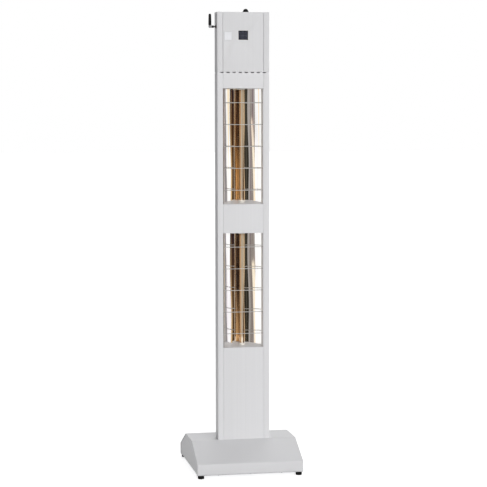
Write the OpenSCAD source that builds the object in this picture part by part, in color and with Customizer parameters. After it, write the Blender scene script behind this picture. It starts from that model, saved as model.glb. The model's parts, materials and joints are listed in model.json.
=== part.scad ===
// Free-standing infrared patio heater: a bent steel base with ballast, an aluminium column
// with two lamps behind wire guards, and a control head with a jointed aerial.
// Lengths are in millimetres. The front faces -Y and the floor is at Z = 0.

/* [Base] */
// Width of the base
base_w = 400; // [370:5:460]
// Depth of the base, front to rear
base_d = 430; // [400:5:480]
// Height of the bent cover, without the feet
base_h = 106; // [96:1:130]
// Height of the upright lips at the front and rear
base_lip_h = 43; // [30:1:55]
// Depth of the flat deck that carries the column
deck_d = 154; // [146:1:180]
// Distance from the deck's front edge to the column's face
deck_margin = 1; // [0:0.5:6]
// Thickness of the base sheet
base_t = 2; // [1.5:0.25:3]
// Outer radius of the bends in the base sheet
base_bend_r = 7; // [4:0.5:10]
// Width of the flanges turned in under the lips
flange_w = 26; // [24:1:34]
// Distance from the cover's ends to its end plates
end_inset = 2; // [0.5:0.5:4]
// Thickness of the floor plate
floor_t = 3; // [2:0.5:5]
// Width of a ballast plate
ballast_w = 320; // [260:5:330]
// Depth of a ballast plate
ballast_d = 300; // [220:5:320]
// Thickness of a ballast plate
ballast_t = 15; // [10:1:18]
// Number of ballast plates
ballast_n = 2; // [1:1:2]
// Thickness of the stiffener under the deck
stiffener_t = 6; // [4:0.5:10]

/* [Feet] */
// Radius of a rubber foot
foot_r = 12; // [10:0.5:14]
// Height of a rubber foot
foot_h = 12; // [10:0.5:16]
// Distance from the base's edges to a foot's centre
foot_inset = 14.5; // [14.5:0.5:18]
// Radius of a foot bolt
foot_bolt_r = 4; // [3:0.5:5]

/* [Column] */
// Width of the column across the front
column_w = 198; // [180:1:230]
// Depth of the straight part of the sides
side_d = 55; // [52:1:70]
// Depth of the column, front face to rear face
column_d = 118; // [110:1:130]
// Width of the rear face
rear_w = 84; // [76:1:110]
// Wall of the side profiles
wall = 2.5; // [2:0.25:3]
// Width of the profile's lip beside the front panels
lip_w = 21.5; // [19:0.5:25]
// Depth of the lip's return behind the front face
lip_return = 10; // [9.5:0.5:12]
// Bevel along the seams of lips and panels
bevel = 0.6; // [0.5:0.1:2]
// Gap between a column panel and what stands beside it
seam = 0.3; // [0.3:0.1:1.2]
// Gap beside the front cover of the head
head_seam = 0.8; // [0.3:0.1:1.2]
// Rounding of the profile's outer corners
corner_r = 2.5; // [1:0.5:4]
// Thickness of the front and rear panels
panel_t = 2.5; // [1.5:0.25:3]
// Depth of the rims bent back from the front panels
panel_rim = 9; // [6:0.5:9]
// Outer radius of a screw port in the profiles
port_r = 4.5; // [4:0.25:5]
// Radius of the column and cap screws
port_screw_r = 2.5; // [2:0.25:3]
// Height of a cross bar
bar_h = 25; // [18:1:30]
// Depth of a cross bar
bar_d = 20; // [15:1:24]
// Wall of a cross bar
bar_t = 2; // [1.5:0.25:3]

/* [Lamps] */
// Height of the lower window's bottom edge above the deck
lower_window = 350.5; // [300:0.5:380]
// Height of a lamp window
window_h = 433; // [400:1:450]
// Height of the panel between the windows
middle_h = 109; // [100:1:130]
// Height of the panel above the upper window
upper_panel_h = 56.5; // [54:0.5:120]
// Distance from the front face to the lamp's axis
lamp_depth = 38; // [36:0.5:42]
// Radius of the quartz tube
tube_r = 9.5; // [9:0.25:10.5]
// Wall of the quartz tube
tube_t = 1.2; // [0.8:0.1:1.5]
// Radius of a ceramic cap
cap_r = 12.5; // [12.25:0.25:14]
// Length of a ceramic cap
cap_len = 24; // [22:1:32]
// Part of the lower cap's length that stands behind the panel
cap_hidden = 10; // [8:1:14]
// Part of the upper cap's length that stands behind the panel
top_cap_hidden = 20; // [10:1:20]
// Depth of the reflector's curve
reflector_d = 30; // [28:1:33]
// Thickness of the reflector sheet
reflector_t = 1; // [0.6:0.1:1.5]
// Rise of the sloping end plates over their depth
end_rise = 14; // [8:1:20]
// Number of guard wires across a window
wire_n = 5; // [2:1:5]
// Distance between guard wires
wire_pitch = 82; // [20:1:84]
// Radius of a guard wire
wire_r = 1.25; // [1:0.05:1.6]
// Width of the guard rails beside a window
rail_t = 2.3; // [2:0.1:3]
// Distance from the reflector to the heat shield behind it
shield_gap = 8; // [5:0.5:12]
// Thickness of the heat shield
shield_t = 1; // [0.6:0.1:1.5]
// Radius of an insulated lamp lead
lead_r = 1.5; // [1:0.1:2]

/* [Head] */
// Height of the vent collar under the head
collar_h = 6; // [5:0.5:10]
// Depth of the groove that the vent collar makes
collar_inset = 1; // [0.75:0.25:2]
// Wall of the vent collar
collar_t = 5; // [4:0.5:6]
// Length of a vent slot
slot_w = 12; // [4:0.5:16]
// Distance between vent slots
slot_pitch = 23; // [17:0.5:30]
// Height of the head with its cap
head_h = 221; // [216:1:260]
// Thickness of the plate under the head
head_floor_t = 2; // [1.5:0.25:3]
// Thickness of the top cap
top_cap_t = 3; // [2.8:0.1:4]
// Width of the display opening
display_w = 36; // [30:1:44]
// Height of the display opening
display_h = 34; // [28:1:44]
// Distance from the head's top to the display's centre
display_drop = 86; // [80:1:100]
// Width of the sensor window
sensor_w = 28.5; // [20:0.5:30]
// Height of the sensor window
sensor_h = 31; // [20:0.5:34]
// Distance from the profile's lip to the sensor window
sensor_margin = 6.25; // [6.2:0.05:12]

// How far the sensor window's middle lies below the display's
sensor_drop = 3; // [0:0.5:6]

/* [Switch button] */
// Distance of the button's axis to the right of the middle
button_x = 16; // [5:0.5:30]
// Distance of the button's axis behind the front face
button_y = 36; // [34:0.5:44]
// Radius of the button's collar
button_collar_r = 12; // [11:0.5:13]
// Height of the button's collar above the top cap
button_collar_h = 4; // [3.6:0.1:5]
// Radius of the domed button
button_r = 10.1; // [9:0.1:10.2]
// Radius of the button's stem
stem_r = 5.9; // [4:0.1:6]
// Travel of the button
button_travel = 3; // [2:0.1:3]

/* [Aerial] */
// Distance from the head's top to the aerial's fitting
aerial_drop = 54; // [50:1:80]
// Distance from the front face to the aerial's fitting
aerial_y = 21; // [20:0.5:30]
// Distance from the head's side to the aerial's hinge pin
aerial_reach = 23.5; // [22:0.5:30]
// Length of the aerial's rod above its hinge pin
aerial_len = 48; // [30:1:100]
// Radius of the rod at its foot
rod_r = 5.8; // [4.5:0.1:6.2]
// Radius of the rod at its tip
rod_tip_r = 4.9; // [2:0.1:5.5]

/* [Cable gland] */
// Height of the cable gland above the deck
gland_rise = 80; // [60:1:120]
// Radius of the gland's thread
gland_r = 8; // [6:0.25:9]
// Radius of the cable that the seal takes
cable_r = 4; // [3:0.1:4.5]

/* [Hidden] */
$fn = 48;

// Overrun of every cut
over = 1;
// Clearance between pieces that slip into each other
slip = 0.3;
// Clearance of a screw, tube or thread in its hole
fit = 0.1;
// Clearance of a shaft that turns or slides in its bore
run = 0.05;
// Steps in the arc of a bend
arc_steps = 8;

// Colours of the finishes
paint = [0.80, 0.80, 0.81];
paint_shade = [0.70, 0.70, 0.71];
mirror_metal = [0.90, 0.88, 0.84];
raw_steel = [0.62, 0.63, 0.65];
black = [0.06, 0.06, 0.07];
ceramic = [0.92, 0.90, 0.85];

// Levels from the floor up
z_base = foot_h;
z_deck = z_base + base_h;
window_z = [z_deck + lower_window, z_deck + lower_window + window_h + middle_h];
z_column = window_z[1] + window_h + upper_panel_h;
column_h = z_column - z_deck;
z_head = z_column + collar_h;
z_top = z_head + head_h;
z_head_in = z_head + head_floor_t;
z_cap = z_top - top_cap_t;

// Planes from the front to the rear
y_front = deck_margin - deck_d / 2;
y_side = y_front + side_d;
y_rear = y_front + column_d;
y_panel = y_front + panel_t;
y_seat = y_rear - panel_t;
half_w = column_w / 2;
half_rear = rear_w / 2;
taper = atan((half_w - half_rear) / (y_rear - y_side));
lip_x = half_w - lip_w;
y_panel_side = y_front + wall;

// The inner corner of a profile, and its inner face at a depth
side_in = [half_w - wall, y_side - wall * tan(taper / 2)];
function inner_x(y) = side_in.x - (y - side_in.y) * tan(taper);

// Corner rounding: the arc of radius r that blends corner q between p and s
function unit(v) = v / norm(v);
function half_angle(p, q, s) = acos(unit(p - q) * unit(s - q)) / 2;
function bend_centre(p, q, s, r) =
    q + unit(unit(p - q) + unit(s - q)) * r / sin(half_angle(p, q, s));
function heading(v) = atan2(v.y, v.x);
function turn(a, b) = (b - a + 540) % 360 - 180;
function arc_between(c, r, a, b) =
    [for (i = [0 : arc_steps]) let (d = a + turn(a, b) * i / arc_steps) c + r * [cos(d), sin(d)]];
function bend(p, q, s, r, inset = 0) =
    let (
        c = bend_centre(p, q, s, r),
        reach = r / tan(half_angle(p, q, s)),
        a = heading(q + unit(p - q) * reach - c),
        b = heading(q + unit(s - q) * reach - c)
    )
    arc_between(c, r - inset, a, b);
function reversed(list) = [for (i = [len(list) - 1 : -1 : 0]) list[i]];
function joined(lists) = [for (l = lists) each l];

// A box given by its low and high corners
module block(low, high) {
    translate(low)
        cube(high - low);
}

// Round bars along the three axes, each starting at a point
module bar_x(at, r, len) {
    translate(at)
        rotate([0, 90, 0])
            cylinder(h = len, r = r);
}

module bar_y(at, r, len) {
    translate(at)
        rotate([-90, 0, 0])
            cylinder(h = len, r = r);
}

module bar_z(at, r, len) {
    translate(at)
        cylinder(h = len, r = r);
}

module hex_x(at, r, len) {
    translate(at)
        rotate([0, 90, 0])
            cylinder(h = len, r = r, $fn = 6);
}

module hex_y(at, r, len) {
    translate(at)
        rotate([-90, 0, 0])
            cylinder(h = len, r = r, $fn = 6);
}

// An outline drawn in Y and Z, extruded along X from x0 to x1
module extrude_x(x0, x1) {
    translate([x0, 0, 0])
        rotate([90, 0, 90])
            linear_extrude(height = x1 - x0)
                children();
}

module between(z0, z1) {
    translate([0, 0, z0])
        linear_extrude(height = z1 - z0)
            children();
}

module both_sides() {
    children();
    mirror([1, 0, 0])
        children();
}

// Base

// Corners of the cover's sheet from the front flange over the deck to the rear flange
half_base_w = base_w / 2;
half_base_d = base_d / 2;
z_lip = z_base + base_lip_h;
cover_corners = [
    [-half_base_d + flange_w, z_base], [-half_base_d, z_base], [-half_base_d, z_lip],
    [-deck_d / 2, z_deck], [deck_d / 2, z_deck], [half_base_d, z_lip],
    [half_base_d, z_base], [half_base_d - flange_w, z_base],
];
function cover_arcs(inset) = joined([
    for (i = [1 : len(cover_corners) - 2])
        bend(cover_corners[i - 1], cover_corners[i], cover_corners[i + 1], base_bend_r, inset)
]);
cover_inside = joined([
    [cover_corners[0] + [0, base_t]], cover_arcs(base_t), [cover_corners[7] + [0, base_t]]
]);

module base_cover() {
    color(paint)
        difference() {
            extrude_x(-half_base_w, half_base_w)
                polygon(joined([
                    [cover_corners[0]], cover_arcs(0), [cover_corners[7]], reversed(cover_inside)
                ]));
            foot_bolt_holes();
            floor_screw_holes();
            for (p = port_places)
                bar_z([p.x, p.y, z_deck - base_t - over], port_screw_r + fit, base_t + 2 * over);
        }
}

x_end_plate = half_base_w - end_inset - base_t;

module base_end_plates() {
    color(paint_shade)
        both_sides()
            extrude_x(x_end_plate, x_end_plate + base_t)
                polygon(joined([[cover_corners[0]], cover_inside, [cover_corners[7]]]));
}

// The floor plate lies on the flanges, clear of the bends
z_floor_plate = z_base + base_t;
half_floor_d = half_base_d - base_bend_r;
z_ballast = z_floor_plate + floor_t;

module base_floor_plate() {
    color(raw_steel)
        difference() {
            block(
                [slip - x_end_plate, -half_floor_d, z_floor_plate],
                [x_end_plate - slip, half_floor_d, z_ballast]
            );
            foot_bolt_holes();
            floor_screw_holes();
        }
}

// The stacked plates are a paint film apart
ballast_step = ballast_t + fit;

module ballast_plates() {
    color(raw_steel)
        for (i = [0 : ballast_n - 1])
            block(
                [-ballast_w / 2, -ballast_d / 2, z_ballast + i * ballast_step],
                [ballast_w / 2, ballast_d / 2, z_ballast + i * ballast_step + ballast_t]
            );
}

// The stiffener spreads the column's load under the deck
stiffener_margin = 3;
z_stiffener = z_deck - base_t - stiffener_t;

module deck_stiffener() {
    color(raw_steel)
        difference() {
            block(
                [-half_w, stiffener_margin - deck_d / 2, z_stiffener],
                [half_w, deck_d / 2 - stiffener_margin, z_stiffener + stiffener_t]
            );
            for (p = port_places)
                bar_z([p.x, p.y, z_stiffener - over], port_screw_r + fit, stiffener_t + 2 * over);
        }
}

foot_places = [
    for (sx = [-1, 1], sy = [-1, 1])
        [sx * (half_base_w - foot_inset), sy * (half_base_d - foot_inset)]
];
foot_edge = 1.5;
foot_bolt_grip = 7;
foot_head_h = 5;
foot_head_r = foot_bolt_r * 1.7;

module rubber_feet() {
    color(black)
        for (p = foot_places)
            translate([p.x, p.y, 0])
                difference() {
                    rotate_extrude()
                        polygon([
                            [0, 0], [foot_r - foot_edge, 0], [foot_r, foot_edge],
                            [foot_r, foot_h], [0, foot_h],
                        ]);
                    bar_z([0, 0, foot_h - foot_bolt_grip], foot_bolt_r + fit, foot_bolt_grip + over);
                }
}

module foot_bolt_holes() {
    for (p = foot_places)
        bar_z([p.x, p.y, z_base - over], foot_bolt_r + fit, base_t + floor_t + 2 * over);
}

module foot_bolts() {
    color(raw_steel)
        for (p = foot_places) {
            bar_z([p.x, p.y, foot_h - foot_bolt_grip], foot_bolt_r, foot_bolt_grip + base_t + floor_t);
            translate([p.x, p.y, z_ballast])
                cylinder(h = foot_head_h, r = foot_head_r, $fn = 6);
        }
}

// Safety switch that opens when the heater tips, standing on the ballast
tip_switch_size = [30, 20, 35];
tip_switch_share = 0.3;
z_tip_switch = z_ballast + (ballast_n - 1) * ballast_step + ballast_t;

module tip_switch() {
    color(black)
        translate([base_w * tip_switch_share, -tip_switch_size.y / 2, z_tip_switch])
            cube(tip_switch_size);
}

// Screws that run along the profiles' ports
port_sink = 0.5;
port_x = half_w - wall - port_r + port_sink;
port_depths = [y_front + wall + port_r - port_sink, y_side - wall - port_r];
port_places = [for (sx = [-1, 1], y = port_depths) [sx * port_x, y]];
port_screw_len = 40;
port_head_h = 4;
port_head_r = port_screw_r * 1.8;

module column_screws() {
    color(raw_steel)
        for (p = port_places) {
            bar_z([p.x, p.y, z_stiffener], port_screw_r, stiffener_t + base_t + port_screw_len);
            bar_z([p.x, p.y, z_stiffener - port_head_h], port_head_r, port_head_h);
        }
}

// Column

rear_flange = 12;
rear_lip = 1.5;
rear_in = half_rear - rear_flange;
y_flange = y_seat - wall;

// Section of the right-hand profile, seen from above
module side_section() {
    difference() {
        union() {
            polygon(joined([
                bend([lip_x, y_front], [half_w, y_front], [half_w, y_side], corner_r),
                bend([half_w, y_front], [half_w, y_side], [half_rear, y_rear], corner_r),
                [
                    [half_rear, y_rear], [half_rear - rear_lip, y_rear],
                    [half_rear - rear_lip, y_seat], [rear_in, y_seat], [rear_in, y_flange],
                    [inner_x(y_flange), y_flange], side_in,
                    [half_w - wall, y_panel_side], [lip_x + wall, y_panel_side],
                    [lip_x + wall, y_front + lip_return], [lip_x, y_front + lip_return],
                    [lip_x, y_front + bevel], [lip_x + bevel, y_front],
                ],
            ]));
            for (y = port_depths)
                translate([port_x, y])
                    circle(r = port_r);
        }
        for (y = port_depths)
            translate([port_x, y])
                circle(r = port_screw_r + fit);
    }
}

module right_side_profile() {
    color(paint)
        difference() {
            between(z_deck, z_column)
                side_section();
            rear_screw_holes(column_screw_levels);
        }
}

module left_side_profile() {
    color(paint)
        difference() {
            mirror([1, 0, 0])
                between(z_deck, z_column)
                    side_section();
            rear_screw_holes(column_screw_levels);
        }
}

// A front panel is a shallow tray that fills the space between the lips
panel_half = lip_x - seam;

module panel_section(half) {
    polygon([
        [-half, y_front + bevel], [bevel - half, y_front],
        [half - bevel, y_front], [half, y_front + bevel],
        [half, y_front + panel_rim], [half - panel_t, y_front + panel_rim],
        [half - panel_t, y_panel], [panel_t - half, y_panel],
        [panel_t - half, y_front + panel_rim], [-half, y_front + panel_rim],
    ]);
}

module panel_edge(z) {
    block(
        [panel_t / 2 - panel_half, y_panel - panel_t / 2, z],
        [panel_half - panel_t / 2, y_front + panel_rim, z + panel_t]
    );
}

module lower_front_panel() {
    color(paint)
        union() {
            between(z_deck, window_z[0])
                panel_section(panel_half);
            panel_edge(window_z[0] - panel_t);
        }
}

module middle_front_panel() {
    color(paint)
        union() {
            between(window_z[0] + window_h, window_z[1])
                panel_section(panel_half);
            panel_edge(window_z[0] + window_h);
            panel_edge(window_z[1] - panel_t);
        }
}

module upper_front_panel() {
    color(paint)
        union() {
            between(window_z[1] + window_h, z_column)
                panel_section(panel_half);
            panel_edge(window_z[1] + window_h);
        }
}

// Rear panels lie in the seat between the profiles' rear lips
rear_half = half_rear - rear_lip - seam;
cover_screw_r = 2;
cover_screw_len = 8;
cover_head_r = 3.8;
cover_head_h = 2.4;
rear_screw_x = (rear_in + half_rear - rear_lip) / 2;
column_screw_shares = [0.03, 0.26, 0.5, 0.74, 0.97];
head_screw_shares = [0.12, 0.88];
column_screw_levels = [for (s = column_screw_shares) z_deck + s * column_h];
head_screw_levels = [for (s = head_screw_shares) z_head_in + s * (z_cap - z_head_in)];

module rear_screw_holes(levels) {
    for (z = levels, sx = [-1, 1])
        bar_y([sx * rear_screw_x, y_flange - over, z], cover_screw_r + fit, panel_t + wall + 2 * over);
}

module rear_panel() {
    color(paint)
        difference() {
            block([-rear_half, y_seat, z_deck], [rear_half, y_rear, z_column]);
            rear_screw_holes(column_screw_levels);
            bar_y([0, y_seat - over, z_gland], gland_r + fit, panel_t + 2 * over);
        }
}

// Screws under the floor plate, in two rows along the flanges
floor_screw_shares = [-0.3, 0, 0.3];
floor_screw_places = [
    for (s = floor_screw_shares, sy = [-1, 1])
        [s * base_w, sy * (half_base_d - foot_inset)]
];

module floor_screw_holes() {
    for (p = floor_screw_places)
        bar_z([p.x, p.y, z_base - over], cover_screw_r + fit, base_t + floor_t + 2 * over);
}

module cover_screw() {
    bar_z([0, 0, -cover_screw_len], cover_screw_r, cover_screw_len);
    cylinder(h = cover_head_h, r = cover_head_r);
}

module cover_screws() {
    color(raw_steel) {
        for (z = concat(column_screw_levels, head_screw_levels), sx = [-1, 1])
            translate([sx * rear_screw_x, y_rear, z])
                rotate([-90, 0, 0])
                    cover_screw();
        for (p = floor_screw_places)
            translate([p.x, p.y, z_base])
                mirror([0, 0, 1])
                    cover_screw();
    }
}

// Cross bars tie the profiles, carry the lamps and back the front panels
bar_clear = 1;
bar_y0 = port_depths[0] + port_r + bar_clear;
bar_pad_half = 60;
bracket_t = 2;
z_lamp_low = [for (z = window_z) z - cap_hidden];
z_lamp_high = [for (z = window_z) z + window_h + top_cap_hidden];
bar_share = 0.45;
bar_levels = concat(
    [z_deck + bar_h, z_deck + bar_share * lower_window],
    [for (z = z_lamp_low) z - bracket_t - bar_h],
    [for (z = z_lamp_high) z + bracket_t]
);

module cross_bars() {
    color(raw_steel)
        for (z = bar_levels)
            union() {
                difference() {
                    block([wall - half_w, bar_y0, z], [half_w - wall, bar_y0 + bar_d, z + bar_h]);
                    block(
                        [-half_w, bar_y0 + bar_t, z + bar_t],
                        [half_w, bar_y0 + bar_d - bar_t, z + bar_h - bar_t]
                    );
                }
                block([-bar_pad_half, y_panel, z], [bar_pad_half, bar_y0 + bar_t / 2, z + bar_h]);
            }
}

// Lamps

y_lamp = y_front + lamp_depth;
reflector_lead = 1;
reflector_edge = 16;
y_mouth = y_front + panel_rim + reflector_lead;
y_curve = y_mouth + reflector_edge;
y_vertex = y_curve + reflector_d;
mouth_half = lip_x - rail_t;
reflector_over = 6;
curve_steps = 32;

// The trough's face, a parabola with its mouth half as wide as half
function trough(half) = [
    for (i = [0 : curve_steps])
        let (s = 2 * i / curve_steps - 1)
            [s * half, y_curve + reflector_d * (1 - s * s)]
];

module trough_inside(clear) {
    half = mouth_half - reflector_t - clear;
    polygon(joined([[[-half, y_mouth]], trough(half), [[half, y_mouth]]]));
}

module reflector(z) {
    between(z - reflector_over, z + window_h + reflector_over)
        polygon(joined([
            [[-mouth_half, y_mouth]],
            [for (p = trough(mouth_half)) p + [0, reflector_t]],
            [[mouth_half, y_mouth], [mouth_half - reflector_t, y_mouth]],
            reversed(trough(mouth_half - reflector_t)),
            [[reflector_t - mouth_half, y_mouth]],
        ]));
}

module lower_reflector() {
    color(mirror_metal)
        reflector(window_z[0]);
}

module upper_reflector() {
    color(mirror_metal)
        reflector(window_z[1]);
}

// A sloping plate closes the foot of a trough round the lamp's cap
module reflector_foot(z) {
    difference() {
        intersection() {
            between(z - over, z + end_rise + reflector_t + over)
                trough_inside(slip);
            extrude_x(-mouth_half, mouth_half)
                polygon([
                    [y_mouth - over, z], [y_vertex + over, z + end_rise],
                    [y_vertex + over, z + end_rise + reflector_t], [y_mouth - over, z + reflector_t],
                ]);
        }
        bar_z([0, y_lamp, z - over], cap_r + slip, end_rise + 2 * over);
    }
}

// A flat plate closes its top, out of sight above the window
module reflector_lid(z) {
    difference() {
        between(z, z + reflector_t)
            trough_inside(slip);
        bar_z([0, y_lamp, z - over], cap_r + slip, reflector_t + 2 * over);
    }
}

module reflector_end_plates() {
    color(mirror_metal)
        for (z = window_z) {
            reflector_foot(z);
            reflector_lid(z + window_h + reflector_over - reflector_t);
        }
}

// The tube's ends sit in the caps' sockets
socket_depth = 11;
lead_socket = 6;

cap_floor = cap_len - socket_depth;
tube_len = window_h + cap_hidden + top_cap_hidden - 2 * cap_floor;

module lamp_tube(z) {
    difference() {
        bar_z([0, y_lamp, z], tube_r, tube_len);
        bar_z([0, y_lamp, z - over], tube_r - tube_t, tube_len + 2 * over);
    }
}

module lower_lamp_tube() {
    color([0.85, 0.62, 0.25])
        lamp_tube(z_lamp_low[0] + cap_floor);
}

module upper_lamp_tube() {
    color([0.85, 0.62, 0.25])
        lamp_tube(z_lamp_low[1] + cap_floor);
}

// The coiled wire is drawn as its outer shape, with the discs that centre it in the tube
filament_r = 1.3;
disc_t = 0.6;
disc_shares = [0.1, 0.26, 0.42, 0.58, 0.74, 0.9];

module lamp_filaments() {
    color([0.35, 0.30, 0.26])
        for (z = z_lamp_low)
            union() {
                bar_z([0, y_lamp, z + cap_floor], filament_r, tube_len);
                for (s = disc_shares)
                    bar_z(
                        [0, y_lamp, z + cap_floor + s * tube_len],
                        tube_r - tube_t - fit, disc_t
                    );
            }
}

// A cap stands on its bracket, with its socket towards the lamp
module lamp_cap() {
    difference() {
        cylinder(h = cap_len, r = cap_r);
        bar_z([0, 0, cap_floor], tube_r + fit, socket_depth + over);
        bar_z([0, 0, -over], lead_r + fit, lead_socket + over);
    }
}

module lamp_caps() {
    color(ceramic) {
        for (z = z_lamp_low)
            translate([0, y_lamp, z])
                lamp_cap();
        for (z = z_lamp_high)
            translate([0, y_lamp, z])
                mirror([0, 0, 1])
                    lamp_cap();
    }
}

bracket_half = 16;
bracket_over = 14;

module lamp_bracket(z) {
    difference() {
        block(
            [-bracket_half, bar_y0, z],
            [bracket_half, y_lamp + bracket_over, z + bracket_t]
        );
        bar_z([0, y_lamp, z - over], lead_r + slip, bracket_t + 2 * over);
    }
}

module lamp_brackets() {
    color(raw_steel) {
        for (z = z_lamp_low)
            lamp_bracket(z - bracket_t);
        for (z = z_lamp_high)
            lamp_bracket(z);
    }
}

// Guard rails stand against the lips, and the wires' ends sit in their holes
rail_gap = 0.5;
rail_lead = 1;
rail_over = 4;
y_wire = y_front + rail_lead + 3 * wire_r;
wire_span = (wire_n - 1) * wire_pitch;

function wire_levels(z) =
    [for (i = [0 : wire_n - 1]) z + (window_h - wire_span) / 2 + i * wire_pitch];

module guard_wires(z) {
    for (w = wire_levels(z))
        bar_x([-lip_x, y_wire, w], wire_r, 2 * lip_x);
}

module lower_guard_wires() {
    color(raw_steel)
        guard_wires(window_z[0]);
}

module upper_guard_wires() {
    color(raw_steel)
        guard_wires(window_z[1]);
}

module guard_rails() {
    color(raw_steel)
        both_sides()
            for (z = window_z)
                difference() {
                    block(
                        [mouth_half, y_front + rail_lead, z + rail_gap],
                        [lip_x, y_mouth + rail_over, z + window_h - rail_gap]
                    );
                    for (w = wire_levels(z))
                        bar_x([mouth_half - over, y_wire, w], wire_r + fit, rail_t + 2 * over);
                }
}

// Heat shields hang behind the reflectors on tabs that reach the cross bars
shield_half = 66;
tab_inner = 30;
tab_outer = 60;
y_shield = y_vertex + reflector_t + shield_gap;
lead_drop = 8;
lead_hole = 3;

module heat_shields() {
    color(raw_steel)
        for (i = [0, 1]) {
            z0 = z_lamp_low[i] - bracket_t - bar_h / 2;
            z1 = z_lamp_high[i] + bracket_t + bar_h / 2;
            difference() {
                union() {
                    block([-shield_half, y_shield, z0], [shield_half, y_shield + shield_t, z1]);
                    for (z = [z0, z1 - shield_t])
                        both_sides()
                            block(
                                [tab_inner, bar_y0 + bar_d, z],
                                [tab_outer, y_shield + shield_t / 2, z + shield_t]
                            );
                }
                for (z = [z_lamp_low[i] - lead_drop, z_lamp_high[i] + lead_drop])
                    bar_y([0, y_shield - over, z], lead_r + lead_hole, shield_t + 2 * over);
            }
        }
}

// Leads run from each cap back behind the shields and up to the terminal block
y_lead = 15;
lead_pitch = 10;
lead_sink = 5;
lead_x_shares = [-1.5, 1.5, -0.5, 0.5];
lead_starts = [
    [z_lamp_low[0] + lead_socket, z_lamp_low[0] - lead_drop],
    [z_lamp_high[0] - lead_socket, z_lamp_high[0] + lead_drop],
    [z_lamp_low[1] + lead_socket, z_lamp_low[1] - lead_drop],
    [z_lamp_high[1] - lead_socket, z_lamp_high[1] + lead_drop],
];

module lead_run(points) {
    for (i = [1 : len(points) - 1]) {
        step = points[i] - points[i - 1];
        translate(points[i - 1])
            rotate([0, acos(step.z / norm(step)), atan2(step.y, step.x)])
                cylinder(h = norm(step), r = lead_r);
    }
    for (i = [1 : len(points) - 2])
        translate(points[i])
            sphere(r = lead_r);
}

module lamp_leads() {
    color([0.85, 0.82, 0.74])
        for (i = [0 : len(lead_starts) - 1]) {
            x = lead_x_shares[i] * lead_pitch;
            turn_z = lead_starts[i][1];
            lead_run([
                [0, y_lamp, lead_starts[i][0]], [0, y_lamp, turn_z], [0, y_lead, turn_z],
                [x, y_lead, turn_z], [x, y_lead, z_head_in + lead_sink],
            ]);
        }
}

// Cable gland

z_gland = z_deck + gland_rise;
gland_flange_t = 5;
gland_flange_w = 4;
gland_hex_r = gland_r + gland_flange_w;
gland_stub = 10;
gland_inside = 10;
gland_bore_gap = 1.2;
gland_bore_r = cable_r + gland_bore_gap;
seal_len = 7;
seal_t = 4;
cap_nut_end = 2;
cap_nut_t = 3.5;
locknut_t = 5;
y_gland_cap = y_rear + gland_flange_t;
y_seal = y_gland_cap + gland_stub;
seal_r = cable_r + fit + seal_t;

module gland_body() {
    color(black)
        difference() {
            union() {
                bar_y([0, y_seat - gland_inside, z_gland], gland_r, gland_inside + panel_t + over);
                hex_y([0, y_rear, z_gland], gland_hex_r, gland_flange_t);
                bar_y([0, y_gland_cap - over, z_gland], gland_r, gland_stub + over);
            }
            bar_y(
                [0, y_seat - gland_inside - over, z_gland], gland_bore_r,
                gland_inside + panel_t + gland_flange_t + gland_stub + 2 * over
            );
        }
}

module gland_cap_nut() {
    color(black)
        difference() {
            hex_y([0, y_gland_cap, z_gland], seal_r + cap_nut_t, gland_stub + seal_len + cap_nut_end);
            bar_y([0, y_gland_cap - over, z_gland], seal_r + fit, gland_stub + seal_len + over);
            bar_y([0, y_seal, z_gland], gland_bore_r, seal_len + cap_nut_end + over);
        }
}

module gland_seal() {
    color(black)
        difference() {
            bar_y([0, y_seal, z_gland], seal_r, seal_len);
            bar_y([0, y_seal - over, z_gland], cable_r + fit, seal_len + 2 * over);
        }
}

module gland_locknut() {
    color(black)
        difference() {
            hex_y([0, y_seat - locknut_t, z_gland], gland_hex_r, locknut_t);
            bar_y([0, y_seat - locknut_t - over, z_gland], gland_r + fit, locknut_t + 2 * over);
        }
}

// Head

// Full outline of the column, drawn in by an inset
module outline(inset) {
    wide = half_w - inset;
    back = y_side - inset * tan(taper / 2);
    narrow = half_rear - inset * (1 - sin(taper)) / cos(taper);
    polygon([
        [-wide, y_front + inset], [wide, y_front + inset], [wide, back],
        [narrow, y_rear - inset], [-narrow, y_rear - inset], [-wide, back],
    ]);
}

module port_holes(z0, z1) {
    for (p = port_places)
        bar_z([p.x, p.y, z0 - over], port_screw_r + fit, z1 - z0 + 2 * over);
}

// Slots round the collar let warm air out below the head
slot_edge = 1.3;
front_slots = floor((column_w - 2 * (collar_inset + collar_t)) / slot_pitch);
rear_slots = floor((rear_w - 2 * (collar_inset + collar_t)) / slot_pitch);

module slot_row(count, y) {
    for (i = [0 : count - 1])
        translate([(i - (count - 1) / 2) * slot_pitch - slot_w / 2, y, z_column + slot_edge])
            cube([slot_w, collar_t + 2 * over, collar_h - 2 * slot_edge]);
}

module vent_collar() {
    color(paint_shade)
        difference() {
            union() {
                between(z_column, z_head)
                    difference() {
                        outline(collar_inset);
                        outline(collar_inset + collar_t);
                    }
                for (p = port_places)
                    bar_z([p.x, p.y, z_column], port_r, collar_h);
            }
            port_holes(z_column, z_head);
            slot_row(front_slots, y_front + collar_inset - over);
            slot_row(rear_slots, y_rear - collar_inset - collar_t - over);
        }
}

stud_down = 30;
stud_up = 25;

module head_studs() {
    color(raw_steel)
        for (p = port_places)
            bar_z([p.x, p.y, z_column - stud_down], port_screw_r, stud_down + collar_h + head_floor_t + stud_up);
}

lead_slot_half = 20;
lead_slot_r = 5;

module head_floor() {
    color(paint)
        difference() {
            between(z_head, z_head_in)
                outline(0);
            port_holes(z_head, z_head_in);
            block(
                [-lead_slot_half, y_lead - lead_slot_r, z_head - over],
                [lead_slot_half, y_lead + lead_slot_r, z_head_in + over]
            );
        }
}

module head_right_profile() {
    color(paint)
        difference() {
            between(z_head_in, z_cap)
                side_section();
            rear_screw_holes(head_screw_levels);
        }
}

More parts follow.
